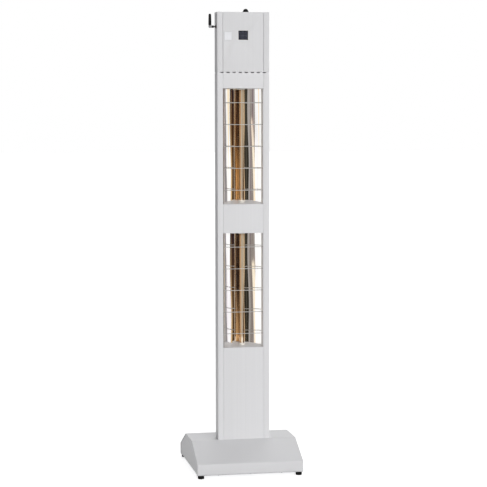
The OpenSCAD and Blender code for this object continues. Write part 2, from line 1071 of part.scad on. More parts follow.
module head_left_profile() {
    color(paint)
        difference() {
            mirror([1, 0, 0])
                between(z_head_in, z_cap)
                    side_section();
            rear_screw_holes(head_screw_levels);
            bar_x([-half_w - over, y_aerial, z_aerial], thread_r + fit, wall + 2 * over);
        }
}

z_display = z_top - display_drop;
z_sensor = z_display - sensor_drop;
head_panel_half = lip_x - head_seam;
sensor_x = lip_x - sensor_margin - sensor_w / 2;

module head_front_cover() {
    color(paint)
        difference() {
            between(z_head_in, z_cap)
                panel_section(head_panel_half);
            block(
                [-display_w / 2, y_front - over, z_display - display_h / 2],
                [display_w / 2, y_panel + over, z_display + display_h / 2]
            );
            block(
                [-sensor_x - sensor_w / 2, y_front - over, z_sensor - sensor_h / 2],
                [sensor_w / 2 - sensor_x, y_panel + over, z_sensor + sensor_h / 2]
            );
        }
}

module head_rear_cover() {
    color(paint)
        difference() {
            block([-rear_half, y_seat, z_head_in], [rear_half, y_rear, z_cap]);
            rear_screw_holes(head_screw_levels);
        }
}

// Countersunk screws hold the top cap
sunk_r = port_screw_r * 1.9;
sunk_h = 2.4;
cap_screw_len = 16;

module sunk_screw(clear) {
    translate([0, 0, -sunk_h])
        cylinder(h = sunk_h, r1 = port_screw_r + clear, r2 = sunk_r + clear);
}

module head_top_cap() {
    color(paint)
        difference() {
            between(z_cap, z_top)
                outline(0);
            port_holes(z_cap, z_top);
            for (p = port_places)
                translate([p.x, p.y, z_top])
                    sunk_screw(fit);
            bar_z([button_x, y_button, z_cap - over], sleeve_r + fit, top_cap_t + 2 * over);
        }
}

module cap_screws() {
    color(raw_steel)
        for (p = port_places)
            translate([p.x, p.y, z_top]) {
                sunk_screw(0);
                bar_z([0, 0, -cap_screw_len], port_screw_r, cap_screw_len - sunk_h);
            }
}

// A window fills its opening and keeps a flange behind the cover
window_recess = 0.4;
window_flange = 2.5;
window_flange_t = 1.2;
y_window = y_panel + window_flange_t;

module window_pane(x, z, w, h) {
    block(
        [x - w / 2 + slip, y_front + window_recess, z - h / 2 + slip],
        [x + w / 2 - slip, y_panel, z + h / 2 - slip]
    );
    block(
        [x - w / 2 - window_flange, y_panel, z - h / 2 - window_flange],
        [x + w / 2 + window_flange, y_window, z + h / 2 + window_flange]
    );
}

module display_window() {
    color([0.10, 0.11, 0.15])
        window_pane(0, z_display, display_w, display_h);
}

module sensor_window() {
    color([0.88, 0.88, 0.90])
        window_pane(-sensor_x, z_sensor, sensor_w, sensor_h);
}

display_module_t = 8;
display_rim = 4;
sensor_board_t = 5;

module display_module() {
    color([0.15, 0.35, 0.20])
        block(
            [-display_w / 2 - display_rim, y_window, z_display - display_h / 2 - display_rim],
            [display_w / 2 + display_rim, y_window + display_module_t, z_display + display_h / 2 + display_rim]
        );
}

module sensor_board() {
    color([0.15, 0.35, 0.20])
        block(
            [-sensor_x - sensor_w / 2, y_window, z_sensor - sensor_h / 2],
            [sensor_w / 2 - sensor_x, y_window + sensor_board_t, z_sensor + sensor_h / 2]
        );
}

// The control board stands on four pillars behind the front cover
board_margin = 15.5;
board_half = lip_x - board_margin;
board_low = 16;
board_high = 30;
board_t = 1.6;
standoff_len = 15.5;
standoff_r = 3;
standoff_inset = 6;
y_board = y_panel + standoff_len;
z_board = [z_head_in + board_low, z_cap - board_high];
relay = [20, 15, 24];
relay_share = 0.55;
relay_pitch = board_half * relay_share;
capacitor_r = 7;
capacitor_len = 22;

module control_board() {
    color([0.10, 0.32, 0.18])
        union() {
            block([-board_half, y_board, z_board[0]], [board_half, y_board + board_t, z_board[1]]);
            for (i = [-1, 0, 1])
                translate([i * relay_pitch - relay.x / 2, y_board + board_t / 2, z_board[0] + relay.z / 2])
                    cube(relay);
            for (i = [-1, 1])
                bar_y(
                    [i * relay_pitch, y_board + board_t / 2, z_board[0] + 3 * relay.z],
                    capacitor_r, capacitor_len
                );
        }
}

module board_standoffs() {
    color("silver")
        for (x = [standoff_inset - board_half, board_half - standoff_inset])
            for (z = [z_board[0] + standoff_inset, z_board[1] - standoff_inset])
                bar_y([x, y_panel, z], standoff_r, standoff_len);
}

// The power stage is fixed to a finned heat sink that stands on the head's floor
sink = [36, 28, 90];
sink_clear = 2;
sink_y = 32;
fin_n = 6;
fin_t = 2;
sink_base_t = 6;

module power_module() {
    color("silver")
        translate([port_r + sink_clear - port_x, y_front + sink_y, z_head_in])
            union() {
                cube([sink.x, sink_base_t, sink.z]);
                for (i = [0 : fin_n - 1])
                    translate([i * (sink.x - fin_t) / (fin_n - 1), sink_base_t / 2, 0])
                        cube([fin_t, sink.y - sink_base_t / 2, sink.z]);
            }
}

// Leads end in the terminal block, which covers the slot in the head's floor
terminal = [50, 14, 20];

module terminal_block() {
    color("ivory")
        difference() {
            block(
                [-terminal.x / 2, y_lead - terminal.y / 2, z_head_in],
                [terminal.x / 2, y_lead + terminal.y / 2, z_head_in + terminal.z]
            );
            for (s = lead_x_shares)
                bar_z([s * lead_pitch, y_lead, z_head_in - over], lead_r + fit, lead_sink + over);
        }
}

// Switch button

y_button = y_front + button_y;
sleeve_r = 8;
sleeve_len = 16;
collar_floor = 1;
button_gap = 0.2;
stem_down = 17;
switch_size = 22;
switch_deep = 31;
spring_solid = 8;
spring_len = spring_solid + button_travel;
dome_rise = collar_floor + button_travel + button_gap;
z_stem = z_top - stem_down;
z_spring = z_stem - spring_len;

module button_collar() {
    color(black)
        translate([button_x, y_button, z_top])
            difference() {
                union() {
                    cylinder(h = button_collar_h, r = button_collar_r);
                    bar_z([0, 0, -sleeve_len], sleeve_r, sleeve_len + collar_floor);
                }
                bar_z([0, 0, collar_floor], button_r + slip, button_collar_h);
                bar_z([0, 0, -sleeve_len - over], stem_r + run, sleeve_len + 2 * over + collar_floor);
            }
}

module button_cap() {
    color(black)
        translate([button_x, y_button, z_top])
            union() {
                intersection() {
                    translate([0, 0, dome_rise])
                        sphere(r = button_r);
                    bar_z([0, 0, dome_rise], button_r + over, button_r + over);
                }
                bar_z([0, 0, -stem_down], stem_r, stem_down + dome_rise + over);
            }
}

// The return spring is one wire wound in a helix between two flat ends
spring_r = 4;
spring_wire_r = 0.5;
spring_turns = 5;
ring_sides = 6;
rings_a_turn = 12;
spring_rings = spring_turns * rings_a_turn;

function spring_point(ring, side) =
    let (
        a = 360 * ring / rings_a_turn,
        b = 360 * side / ring_sides,
        r = spring_r + spring_wire_r * cos(b),
        z = spring_wire_r + (spring_len - 2 * spring_wire_r) * ring / spring_rings
    )
    [r * cos(a), r * sin(a), z + spring_wire_r * sin(b)];

module button_spring() {
    points = [for (i = [0 : spring_rings], j = [0 : ring_sides - 1]) spring_point(i, j)];
    sides = [
        for (i = [0 : spring_rings - 1], j = [0 : ring_sides - 1])
            let (
                a = i * ring_sides + j,
                b = i * ring_sides + (j + 1) % ring_sides,
                c = b + ring_sides,
                d = a + ring_sides
            )
            each [[a, b, c], [a, c, d]]
    ];
    first = [for (j = [ring_sides - 1 : -1 : 0]) j];
    last = [for (j = [0 : ring_sides - 1]) spring_rings * ring_sides + j];
    color("silver")
        translate([button_x, y_button, z_spring])
            polyhedron(points = points, faces = concat(sides, [first, last]));
}

module button_switch() {
    color(black)
        translate([button_x, y_button, z_cap])
            difference() {
                block(
                    [-switch_size / 2, -switch_size / 2, -switch_deep + top_cap_t],
                    [switch_size / 2, switch_size / 2, 0]
                );
                bar_z([0, 0, top_cap_t - sleeve_len], sleeve_r + fit, sleeve_len);
                bar_z([0, 0, top_cap_t - stem_down - spring_len], stem_r + slip, stem_down + spring_len);
            }
}

// Aerial

y_aerial = y_front + aerial_y;
z_aerial = z_top - aerial_drop;
thread_r = 3.1;
stub_r = 2.6;
nut_r = 6;
nut_t = 3.5;
inner_hex_t = 10;
swivel_r = 4.5;
swivel_len = 8.5;
stub_in = 6;
fork_half = 4.15;
fork_gap_half = 2.15;
fork_r = 4.4;
fork_base_t = 1.2;
pin_r = 1.2;
tongue_half = 2;
tongue_r = 4.2;
rod_lift = 5.2;
hinge_x = -half_w - aerial_reach;
fork_x = hinge_x + fork_r + fork_base_t + slip;
swivel_x = fork_x + swivel_len;

// Fixed bulkhead fitting, and the hexagon nut that clamps it to the wall
module aerial_connector() {
    color("silver") {
        union() {
            hex_x([wall - half_w, y_aerial, z_aerial], nut_r, inner_hex_t);
            bar_x([-half_w - nut_t, y_aerial, z_aerial], thread_r, nut_t + wall + over);
            bar_x([swivel_x - stub_in, y_aerial, z_aerial], stub_r,
                -half_w - nut_t - swivel_x + stub_in + over);
        }
        difference() {
            hex_x([-half_w - nut_t, y_aerial, z_aerial], nut_r, nut_t);
            bar_x([-half_w - nut_t - over, y_aerial, z_aerial], thread_r + fit, nut_t + 2 * over);
        }
    }
}

// Turns about the fitting's axis, and its fork holds the rod's hinge
module aerial_swivel() {
    color(black)
        difference() {
            union() {
                bar_x([fork_x, y_aerial, z_aerial], swivel_r, swivel_len);
                block(
                    [fork_x - fork_base_t, y_aerial - fork_half, z_aerial - fork_r],
                    [fork_x + fork_base_t, y_aerial + fork_half, z_aerial + fork_r]
                );
                for (y = [y_aerial - fork_half, y_aerial + fork_gap_half]) {
                    bar_y([hinge_x, y, z_aerial], fork_r, fork_half - fork_gap_half);
                    block(
                        [hinge_x, y, z_aerial - fork_r],
                        [fork_x, y + fork_half - fork_gap_half, z_aerial + fork_r]
                    );
                }
            }
            bar_x([swivel_x - stub_in - over, y_aerial, z_aerial], stub_r + run, stub_in + 2 * over);
            bar_y([hinge_x, y_aerial - fork_half - over, z_aerial], pin_r + run, 2 * (fork_half + over));
        }
}

module aerial_pin() {
    color("silver")
        bar_y([hinge_x, y_aerial - fork_half, z_aerial], pin_r, 2 * fork_half);
}

module aerial_rod() {
    color(black)
        translate([hinge_x, y_aerial, z_aerial])
            difference() {
                union() {
                    bar_y([0, -tongue_half, 0], tongue_r, 2 * tongue_half);
                    block([-tongue_r, -tongue_half, 0], [tongue_r, tongue_half, rod_lift + over]);
                    translate([0, 0, rod_lift])
                        cylinder(h = aerial_len - rod_lift - rod_tip_r, r1 = rod_r, r2 = rod_tip_r);
                    translate([0, 0, aerial_len - rod_tip_r])
                        sphere(r = rod_tip_r);
                }
                bar_y([0, -tongue_half - over, 0], pin_r + run, 2 * (tongue_half + over));
            }
}

// Radio board plugged on the inner end of the aerial's fitting
radio = [18, 14, 30];

module receiver_module() {
    color([0.10, 0.32, 0.18])
        translate([wall - half_w + inner_hex_t, y_aerial - radio.y / 2, z_aerial - radio.z / 2])
            cube(radio);
}

base_cover();
base_end_plates();
base_floor_plate();
ballast_plates();
deck_stiffener();
rubber_feet();
foot_bolts();
tip_switch();
column_screws();
left_side_profile();
right_side_profile();
lower_front_panel();
middle_front_panel();
upper_front_panel();
rear_panel();
cross_bars();
cover_screws();
lower_reflector();
upper_reflector();
reflector_end_plates();
lower_lamp_tube();
upper_lamp_tube();
lamp_filaments();
lamp_caps();
lamp_brackets();
lower_guard_wires();
upper_guard_wires();
guard_rails();
heat_shields();
lamp_leads();
gland_body();
gland_cap_nut();
gland_seal();
gland_locknut();
vent_collar();
head_studs();
head_floor();
head_left_profile();
head_right_profile();
head_front_cover();
head_rear_cover();
head_top_cap();
cap_screws();
display_window();
display_module();
sensor_window();
sensor_board();
control_board();
board_standoffs();
power_module();
terminal_block();
receiver_module();
button_collar();
button_cap();
button_spring();
button_switch();
aerial_connector();
aerial_swivel();
aerial_pin();
aerial_rod();
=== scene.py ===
import json
import math

import bmesh
import bpy
from mathutils import Matrix, Vector


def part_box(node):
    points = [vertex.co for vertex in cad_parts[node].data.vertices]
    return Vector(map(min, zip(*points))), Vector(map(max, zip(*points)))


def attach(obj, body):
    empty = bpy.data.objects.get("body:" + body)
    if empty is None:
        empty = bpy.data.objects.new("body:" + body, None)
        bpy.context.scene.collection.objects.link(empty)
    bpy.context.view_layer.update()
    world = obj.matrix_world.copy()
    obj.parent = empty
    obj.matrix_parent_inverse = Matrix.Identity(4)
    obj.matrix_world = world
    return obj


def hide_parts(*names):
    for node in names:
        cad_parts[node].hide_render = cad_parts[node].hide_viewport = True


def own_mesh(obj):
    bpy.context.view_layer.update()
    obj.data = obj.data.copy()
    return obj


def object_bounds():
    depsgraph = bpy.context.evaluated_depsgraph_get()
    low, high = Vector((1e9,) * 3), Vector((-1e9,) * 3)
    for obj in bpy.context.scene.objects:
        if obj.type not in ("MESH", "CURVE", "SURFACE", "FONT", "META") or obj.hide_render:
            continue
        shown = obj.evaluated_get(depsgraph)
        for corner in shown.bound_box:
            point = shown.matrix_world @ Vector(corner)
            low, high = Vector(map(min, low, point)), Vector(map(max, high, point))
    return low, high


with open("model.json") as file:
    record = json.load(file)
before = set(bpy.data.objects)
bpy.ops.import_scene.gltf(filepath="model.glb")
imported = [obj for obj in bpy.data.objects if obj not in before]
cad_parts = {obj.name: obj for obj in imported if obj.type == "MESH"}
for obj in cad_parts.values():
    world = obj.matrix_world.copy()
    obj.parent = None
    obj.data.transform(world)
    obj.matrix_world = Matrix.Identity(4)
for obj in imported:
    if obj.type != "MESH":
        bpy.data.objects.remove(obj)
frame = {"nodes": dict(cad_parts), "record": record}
cad_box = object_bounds()

# Sizes in metres and settings that the functions below read
mm = 0.001
rest_body = "heater"
lamp_tubes = ("lower_lamp_tube", "upper_lamp_tube")
lamp_low, lamp_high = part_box("lower_lamp_tube")
upper_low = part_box("upper_lamp_tube")[0]
lamp_axis_y = (lamp_low[1] + lamp_high[1]) / 2
reflector_gauge = 0.8 * mm
reflector_rows = 36
coil_doublings = 7
fill_level = 0.34
card_radius = 3.13
stage_low, stage_high = 0.004, 4.0


# Camera, floor and light

def look(thing, place, toward, lean=0.0):
    """Stands a camera or lamp at a place and turns it toward a point."""
    turned = (Vector(toward) - Vector(place)).to_track_quat("-Z", "Y").to_matrix().to_4x4()
    thing.matrix_world = Matrix.Translation(place) @ turned @ Matrix.Rotation(lean, 4, "Z")
    bpy.context.scene.collection.objects.link(thing)
    return thing


def stand_camera():
    """The photograph's view: a little left of the front, from breast height. Its angles in
    radians, its place and its focal length were fitted to the photo's corners and edges."""
    swing, dip, lean = 0.18714, 0.0763, -0.00152
    focal_length = 118.79
    place = Vector((-1.1222, -6.0010, 1.3236))
    level = math.cos(dip)
    sight = Vector((math.sin(swing) * level, math.cos(swing) * level, -math.sin(dip)))
    lens = bpy.data.cameras.new("photo_camera")
    lens.lens = focal_length
    lens.sensor_width = 36
    lens.clip_end = 200
    camera = look(bpy.data.objects.new("photo_camera", lens), place, place + sight, lean)
    bpy.context.scene.camera = camera


def soft_light(name, place, power, spread):
    """A far, broad studio light that reaches every part of the floor alike."""
    lamp = bpy.data.lights.new(name, "SUN")
    lamp.energy = power
    lamp.angle = math.radians(spread)
    return look(bpy.data.objects.new(name, lamp), place, (0, 0, 0))


class Value:
    """A number that changes over a surface: the output of one shader node."""

    def __init__(self, finish, socket):
        self.finish = finish
        self.socket = socket

    def math(self, operation, *others):
        return self.finish.node("Math", {"operation": operation}, [self, *others])

    def __add__(self, other):
        return self.math("ADD", other)

    def __sub__(self, other):
        return self.math("SUBTRACT", other)

    def __mul__(self, other):
        return self.math("MULTIPLY", other)

    def __truediv__(self, other):
        return self.math("DIVIDE", other)

    def __rsub__(self, other):
        return self.finish.node("Math", {"operation": "SUBTRACT"}, [other, self])

    def __lt__(self, other):
        return self.math("LESS_THAN", other)

    def __gt__(self, other):
        return self.math("GREATER_THAN", other)

    __radd__ = __add__
    __rmul__ = __mul__

    def size(self):
        return self.math("ABSOLUTE")

    def part(self):
        return self.math("FRACT")

    def ramp(self, low, high, start=0.0, end=1.0):
        """Runs from start to end while this value goes from low to high."""
        return self.finish.node(
            "MapRange", {"clamp": True, "interpolation_type": "SMOOTHSTEP"},
            {"Value": self, "From Min": low, "From Max": high, "To Min": start, "To Max": end},
        )

    def within(self, low, high, soft):
        """A stripe: 1 between low and high, and 0 outside them, with soft edges."""
        return (self - low).ramp(-soft, soft) * (high - self).ramp(-soft, soft)


class Finish:
    """A material, built node by node."""

    def __init__(self, name):
        self.material = bpy.data.materials.new(name)
        self.material.use_nodes = True
        self.tree = self.material.node_tree
        self.tree.nodes.clear()
        self.place = self.node("TexCoord", out="Object")

    def node(self, kind, settings=None, values=None, out=0):
        """Adds a node, sets it, feeds its sockets, and gives back one output."""
        made = self.tree.nodes.new("ShaderNode" + kind)
        for key, value in (settings or {}).items():
            setattr(made, key, value)
        pairs = values.items() if isinstance(values, dict) else enumerate(values or [])
        for key, value in pairs:
            socket = made.inputs[key]
            if isinstance(value, Value):
                self.tree.links.new(value.socket, socket)
            else:
                socket.default_value = value
        return Value(self, made.outputs[out])

    def axes(self):
        """The place on the object along X, Y and Z, in metres."""
        parts = self.tree.nodes.new("ShaderNodeSeparateXYZ")
        self.tree.links.new(self.place.socket, parts.inputs[0])
        return [Value(self, parts.outputs[i]) for i in range(3)]

    def noise(self, scale, detail=3.0, stretch=(1, 1, 1), rough=0.5):
        """Cloudy variation, with a number of clouds to the metre, from 0 to 1."""
        at = self.node("Mapping", None, {"Vector": self.place, "Scale": stretch})
        return self.node(
            "TexNoise", None, {"Vector": at, "Scale": scale, "Detail": detail, "Roughness": rough}
        )

    def tint(self, factor, first, second):
        """A colour between two colours."""
        made = self.tree.nodes.new("ShaderNodeMix")
        made.data_type = "RGBA"
        made.clamp_factor = True
        for slot, value in zip((0, 6, 7), (factor, first, second)):
            if isinstance(value, Value):
                self.tree.links.new(value.socket, made.inputs[slot])
            else:
                made.inputs[slot].default_value = value if slot == 0 else (*value, 1)
        return Value(self, made.outputs[2])

    def bump(self, height, deep, strength=1.0, under=None):
        """Relief whose full height is so many metres deep."""
        values = {"Height": height, "Distance": deep, "Strength": strength}
        if under is not None:
            values["Normal"] = under
        return self.node("Bump", None, values)

    def skin(self, colour, rough, metal=0.0, normal=None, also=None):
        """Closes the material with its surface."""
        values = {"Roughness": rough, "Metallic": metal, **(also or {})}
        values["Base Color"] = colour if isinstance(colour, Value) else (*colour, 1)
        if normal is not None:
            values["Normal"] = normal
        surface = self.node("BsdfPrincipled", None, values, out="BSDF")
        self.close(surface)
        return self.material

    def close(self, surface):
        end = self.tree.nodes.new("ShaderNodeOutputMaterial")
        self.tree.links.new(surface.socket, end.inputs["Surface"])
        return self.material


def dye(red, green, blue):
    """A colour from its 0-255 levels on screen."""
    return tuple((level / 255) ** 2.2 for level in (red, green, blue))


def cool_grey(level):
    """A grey from its 0-255 level on screen, a little on the blue side."""
    return dye(level, level, level + 2)


# Finishes of the painted metal

def powder_coat(name, level, die_lines=False):
    """Satin grey powder coat; on the extrusions faint die lines show through it."""
    coat = Finish(name)
    cloud = coat.noise(3.5, 2)
    peel = coat.noise(900, 2)
    speck = coat.noise(2600, 1)
    shade = cloud * 0.5 + speck * 0.2 + 0.15
    rough = peel * 0.14 + cloud * 0.06 + 0.36
    height = peel * 0.7 + speck * 0.3
    if die_lines:
        lines = coat.noise(260, 3, stretch=(1, 1, 0.006))
        shade = shade + (lines - 0.5) * 0.9
        rough = rough + (lines - 0.5) * 0.12
        height = height + lines * 0.5
    colour = coat.tint(shade, cool_grey(level - 4), cool_grey(level + 4))
    return coat.skin(colour, rough, normal=coat.bump(height, 0.04 * mm, 0.5))


# Finishes of the bare metal

def polished_reflector(rim_x):
    """Bright rolled sheet with long streaks, partly heat tint and partly painted reflection, and
    shallow waves.
    Its right rim is duller, as the rolls left it."""
    bright = Finish("bright_reflector")
    x = bright.axes()[0]
    wave = bright.noise(16, 1, stretch=(1, 1, 0.16))
    streak = bright.noise(90, 2, stretch=(1, 1, 0.012))
    haze = bright.noise(700, 2, stretch=(1, 1, 0.05))
    # Streaks of heat tint and painted reflection: warm gold ones and pinkish ones
    warm_tint_and_reflection = bright.tint(streak.ramp(0.52, 0.72), dye(250, 249, 247), dye(250, 226, 186))
    colour = bright.tint(streak.ramp(0.30, 0.42, 0.5, 0.0), warm_tint_and_reflection, dye(206, 190, 204))
    dull = x.ramp(rim_x - 2 * mm, rim_x)
    rough = haze * 0.04 + dull * 0.5 + 0.02
    return bright.skin(colour, rough, 1.0 - dull * 0.7, bright.bump(wave, 1.2 * mm, 0.35))


def brushed_metal(name, colour, along, rough=0.3, lines=0.16, shine=1.0):
    """Metal with fine lines along one axis."""
    metal = Finish(name)
    stretch = [1, 1, 1]
    stretch["xyz".index(along)] = 0.02
    line = metal.noise(1400, 3, stretch=stretch)
    cloud = metal.noise(14, 3)
    dark = tuple(part * 0.82 for part in colour)
    shade = metal.tint(line * 0.6 + cloud * 0.4, dark, colour)
    gloss = (line - 0.5) * lines + (cloud - 0.5) * 0.12 + rough
    return metal.skin(shade, gloss, shine, metal.bump(line, 0.02 * mm, 0.4))


def rail_zinc():
    """The guard rails' dull zinc plate: the left rail is painted dark brown as painted shade, the
    right one is pale.
    """
    zinc = Finish("rail_zinc")
    x = zinc.axes()[0]
    cloud = zinc.noise(40, 4)
    streak = zinc.noise(300, 2, stretch=(1, 1, 0.02))
    # Painted shade: the left rail dark brown, the right rail in its pale zinc
    brown = zinc.tint(cloud, dye(50, 36, 29), dye(86, 66, 54))
    pale = zinc.tint(streak, dye(216, 215, 219), dye(230, 229, 232))
    colour = zinc.tint(x.ramp(-10 * mm, 10 * mm), brown, pale)
    return zinc.skin(colour, cloud * 0.2 + 0.4, 0.0)


def zinc_plate():
    """Zinc plate with its pale crystals and a few dull spots."""
    zinc = Finish("zinc_plate")
    crystal = zinc.node(
        "TexVoronoi", {"feature": "F1"}, {"Vector": zinc.place, "Scale": 320}, out="Distance"
    )
    cloud = zinc.noise(30, 4)
    colour = zinc.tint(crystal * 0.5 + cloud * 0.5, dye(150, 152, 156), dye(206, 208, 210))
    return zinc.skin(colour, cloud * 0.2 + crystal * 0.15 + 0.22, 1.0)


# Finishes of the lamps

def gold_quartz():
    """Quartz glass with a gold film. Its rear half's film is painted bright gold below and dark
    brown above: painted light and painted shade.
    """
    gold = Finish("gold_quartz")
    x, y, z = gold.axes()
    film = gold.noise(24, 2, stretch=(1, 1, 0.2))
    fine = gold.noise(500, 2, stretch=(1, 1, 0.04))
    line = gold.noise(330, 2, stretch=(1, 1, 0.004))
    streak = gold.noise(260, 2, stretch=(1, 1, 0.015))
    rear = (y - lamp_axis_y).ramp(-3 * mm, 3 * mm)
    lower = z < (lamp_high[2] + upper_low[2]) / 2
    reach = lamp_high[2] - lamp_low[2]
    height = lower * (z - lamp_low[2]) / reach + (1 - lower) * (z - upper_low[2]) / reach
    # In front, painted highlights: the right side painted light above and dark below, and a bright
    # line down the middle
    right_painted_highlight = gold.tint(height.ramp(0.1, 0.7), dye(132, 98, 66), dye(255, 230, 192))
    front = gold.tint(film, dye(220, 172, 124), dye(240, 196, 148))
    front = gold.tint(x.ramp(1 * mm, 3 * mm), front, right_painted_highlight)
    front = gold.tint(x.within(-3 * mm, 1.5 * mm, 0.8 * mm), front, dye(255, 246, 226))
    # A painted dark line between the painted highlights
    front = gold.tint(line.ramp(0.34, 0.44, 0.5, 0.0), front, dye(166, 118, 72))
    # Behind, painted shade darkens the film from the top down
    rear_painted_shade = (height + lower * 0.12 + (streak - 0.5) * 0.5).ramp(0.16, 0.6)
    deep = gold.tint(streak.ramp(0.42, 0.6), dye(52, 30, 16), dye(104, 68, 40))
    colour = gold.tint(rear, front, gold.tint(rear_painted_shade, dye(255, 196, 126), deep))
    return gold.skin(
        colour, fine * 0.06 + 0.1, 0.6, gold.bump(film, 0.3 * mm, 0.2),
        {"Alpha": 0.92, "Coat Weight": 0.7, "Coat Roughness": 0.03},
    )


def fired_ceramic(name, dark, light):
    """Unglazed ceramic: chalky, with pin holes and handling marks."""
    clay = Finish(name)
    grain = clay.noise(1800, 3)
    stain = clay.noise(60, 3)
    colour = clay.tint(stain * 0.7 + grain * 0.3, dark, light)
    return clay.skin(colour, grain * 0.15 + 0.7, 0.0, clay.bump(grain, 0.05 * mm, 0.6))


def tungsten():
    """Drawn tungsten wire, dark from heat."""
    wire = Finish("filament_wire")
    heat = wire.noise(200, 3)
    colour = wire.tint(heat, dye(70, 62, 58), dye(132, 118, 104))
    return wire.skin(colour, heat * 0.2 + 0.35, 1.0)


def glass_sleeve():
    """Woven glass sleeve on the lamp leads."""
    sleeve = Finish("lead_sleeve")
    x, y, z = sleeve.axes()
    weave = ((x + z) * 900).math("SINE") * ((x - z + y) * 900).math("SINE")
    fuzz = sleeve.noise(900, 3)
    colour = sleeve.tint(weave * 0.3 + fuzz, dye(196, 188, 170), dye(236, 230, 214))
    return sleeve.skin(colour, 0.85, 0.0, sleeve.bump(weave, 0.15 * mm, 0.8))


# Finishes of rubber and plastic

def moulded(name, dark, light, rough, grain_scale=1500, deep=0.03, sheen=0.3):
    """Moulded rubber or plastic with a fine spark grain and a little dust."""
    cast = Finish(name)
    grain = cast.noise(grain_scale, 3)
    dust = cast.noise(45, 4)
    colour = cast.tint(dust.ramp(0.35, 0.8), dark, light)
    gloss = grain * 0.16 + dust * 0.10 + rough
    return cast.skin(
        colour, gloss, 0.0, cast.bump(grain, deep * mm, 0.6), {"Specular IOR Level": sheen}
    )


def fork_highlight_moulding(name, split_x):
    """The aerial's joint: a fork painted light grey as a painted highlight, and a black barrel
    where it turns on its fitting.
    """
    cast = Finish(name)
    x = cast.axes()[0]
    grain = cast.noise(1500, 3)
    dust = cast.noise(60, 4)
    # Painted highlight: the fork light grey against the black barrel
    fork = cast.tint(dust, dye(136, 136, 138), dye(160, 160, 162))
    barrel = cast.tint(dust, dye(22, 22, 23), dye(44, 44, 45))
    colour = cast.tint((x - split_x).ramp(-0.2 * mm, 0.2 * mm), fork, barrel)
    return cast.skin(
        colour, grain * 0.16 + 0.4, 0.0, cast.bump(grain, 0.03 * mm, 0.6),
        {"Specular IOR Level": 0.3},
    )


def display_glass(low, high):
    """Tinted window with the unlit cells of the display behind it."""
    glass = Finish("display_glass")
    x, _, z = glass.axes()
    across = (x - low.x) / (high.x - low.x)
    up = (z - low.z) / (high.z - low.z)
    # A field of cells in the window's middle, with coarser blocks over them
    columns, rows, blocks = 7, 5, 2.8
    inner = ((across - 0.5).size() < 0.36) * ((up - 0.5).size() < 0.35)
    cell = ((across * columns).part() < 0.68) * ((up * rows).part() < 0.66)
    block = ((across * blocks + 0.1).part() < 0.8) * ((up * blocks + 0.1).part() < 0.78)
    smear = glass.noise(160, 3)
    lit = inner * (block * 0.45 + cell * 0.35 + smear * 0.3)
    colour = glass.tint(lit, dye(34, 35, 44), dye(72, 75, 88))
    return glass.skin(
        colour, smear * 0.08 + 0.10, 0.0, None,
        {"Coat Weight": 0.5, "Coat Roughness": 0.05, "IOR": 1.49},
    )


def sensor_plastic():
    """Pale window, slightly bluer than the paint round it."""
    pane = Finish("sensor_plastic")
    milk = pane.noise(90, 2)
    grain = pane.noise(2200, 2)
    colour = pane.tint(milk, dye(225, 226, 230), dye(231, 232, 236))
    return pane.skin(
        colour, grain * 0.1 + 0.25, 0.0, pane.bump(grain, 0.01 * mm, 0.5),
        {"Coat Weight": 0.3, "Coat Roughness": 0.1},
    )


def circuit_board(board_face):
    """Green lacquer with copper tracks; taller components are dark and blue."""
    board = Finish("circuit_board")
    x, y, _ = board.axes()
    upright = (math.radians(90), 0, 0)
    bare_edge = 62 * mm
    at = board.node("Mapping", None, {"Vector": board.place, "Rotation": upright})
    tracks = board.node(
        "TexBrick", {"offset": 0.3},
        {"Vector": at, "Scale": 90.0, "Mortar Size": 0.03, "Mortar Smooth": 0.1}, out="Fac",
    )
    pads = board.node(
        "TexVoronoi", {"feature": "F1"}, {"Vector": board.place, "Scale": 210}, out="Distance"
    ) < 0.16
    green = board.tint(tracks, dye(24, 84, 52), dye(70, 128, 72))
    lacquer = board.tint(pads, green, dye(196, 190, 170))
    mould = board.noise(140, 2)
    parts = board.tint(mould.ramp(0.4, 0.6), dye(34, 38, 48), dye(44, 70, 118))
    tall = (y > board_face) * (x.size() < bare_edge)
    colour = board.tint(tall, lacquer, parts)
    return board.skin(colour, mould * 0.2 + 0.3, 0.0, board.bump(tracks, 0.05 * mm, 0.5))


# Mesh tools

def piece_from(form, name, material, body, *nodes, slot=None, crease=32):
    """Turns a finished form into a named piece that rides on a body."""
    mesh = bpy.data.meshes.new(name)
    form.to_mesh(mesh)
    form.free()
    mesh.materials.append(material)
    mesh.shade_smooth()
    mesh.set_sharp_from_angle(angle=math.radians(crease))
    piece = bpy.data.objects.new(name, mesh)
    bpy.context.scene.collection.objects.link(piece)
    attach(piece, body)
    if nodes:
        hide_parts(*nodes)
    return piece


def closed(form):
    """Merges the doubles of a form and turns its faces outwards."""
    bmesh.ops.remove_doubles(form, verts=form.verts, dist=0.005 * mm)
    bmesh.ops.recalc_face_normals(form, faces=form.faces)
    return form


def turned(profile, steps=48):
    """Spins a line of (radius, height) points, in millimetres, round the Z axis."""
    form = bmesh.new()
    line = [form.verts.new((r * mm, 0, z * mm)) for r, z in profile]
    edges = [form.edges.new(pair) for pair in zip(line, line[1:])]
    bmesh.ops.spin(
        form, geom=line + edges, cent=(0, 0, 0), axis=(0, 0, 1), angle=math.tau,
        steps=steps, use_merge=True,
    )
    return closed(form)


def ease(form, width):
    """Rounds the sharp edges of a form."""
    sharp = math.radians(30)
    edges = [
        edge for edge in form.edges
        if len(edge.link_faces) == 2 and edge.calc_face_angle() > sharp
    ]
    bmesh.ops.bevel(
        form, geom=edges, offset=width * mm, offset_type="OFFSET", affect="EDGES",
        segments=2, profile=0.5, clamp_overlap=True, material=-1,
    )
    return form


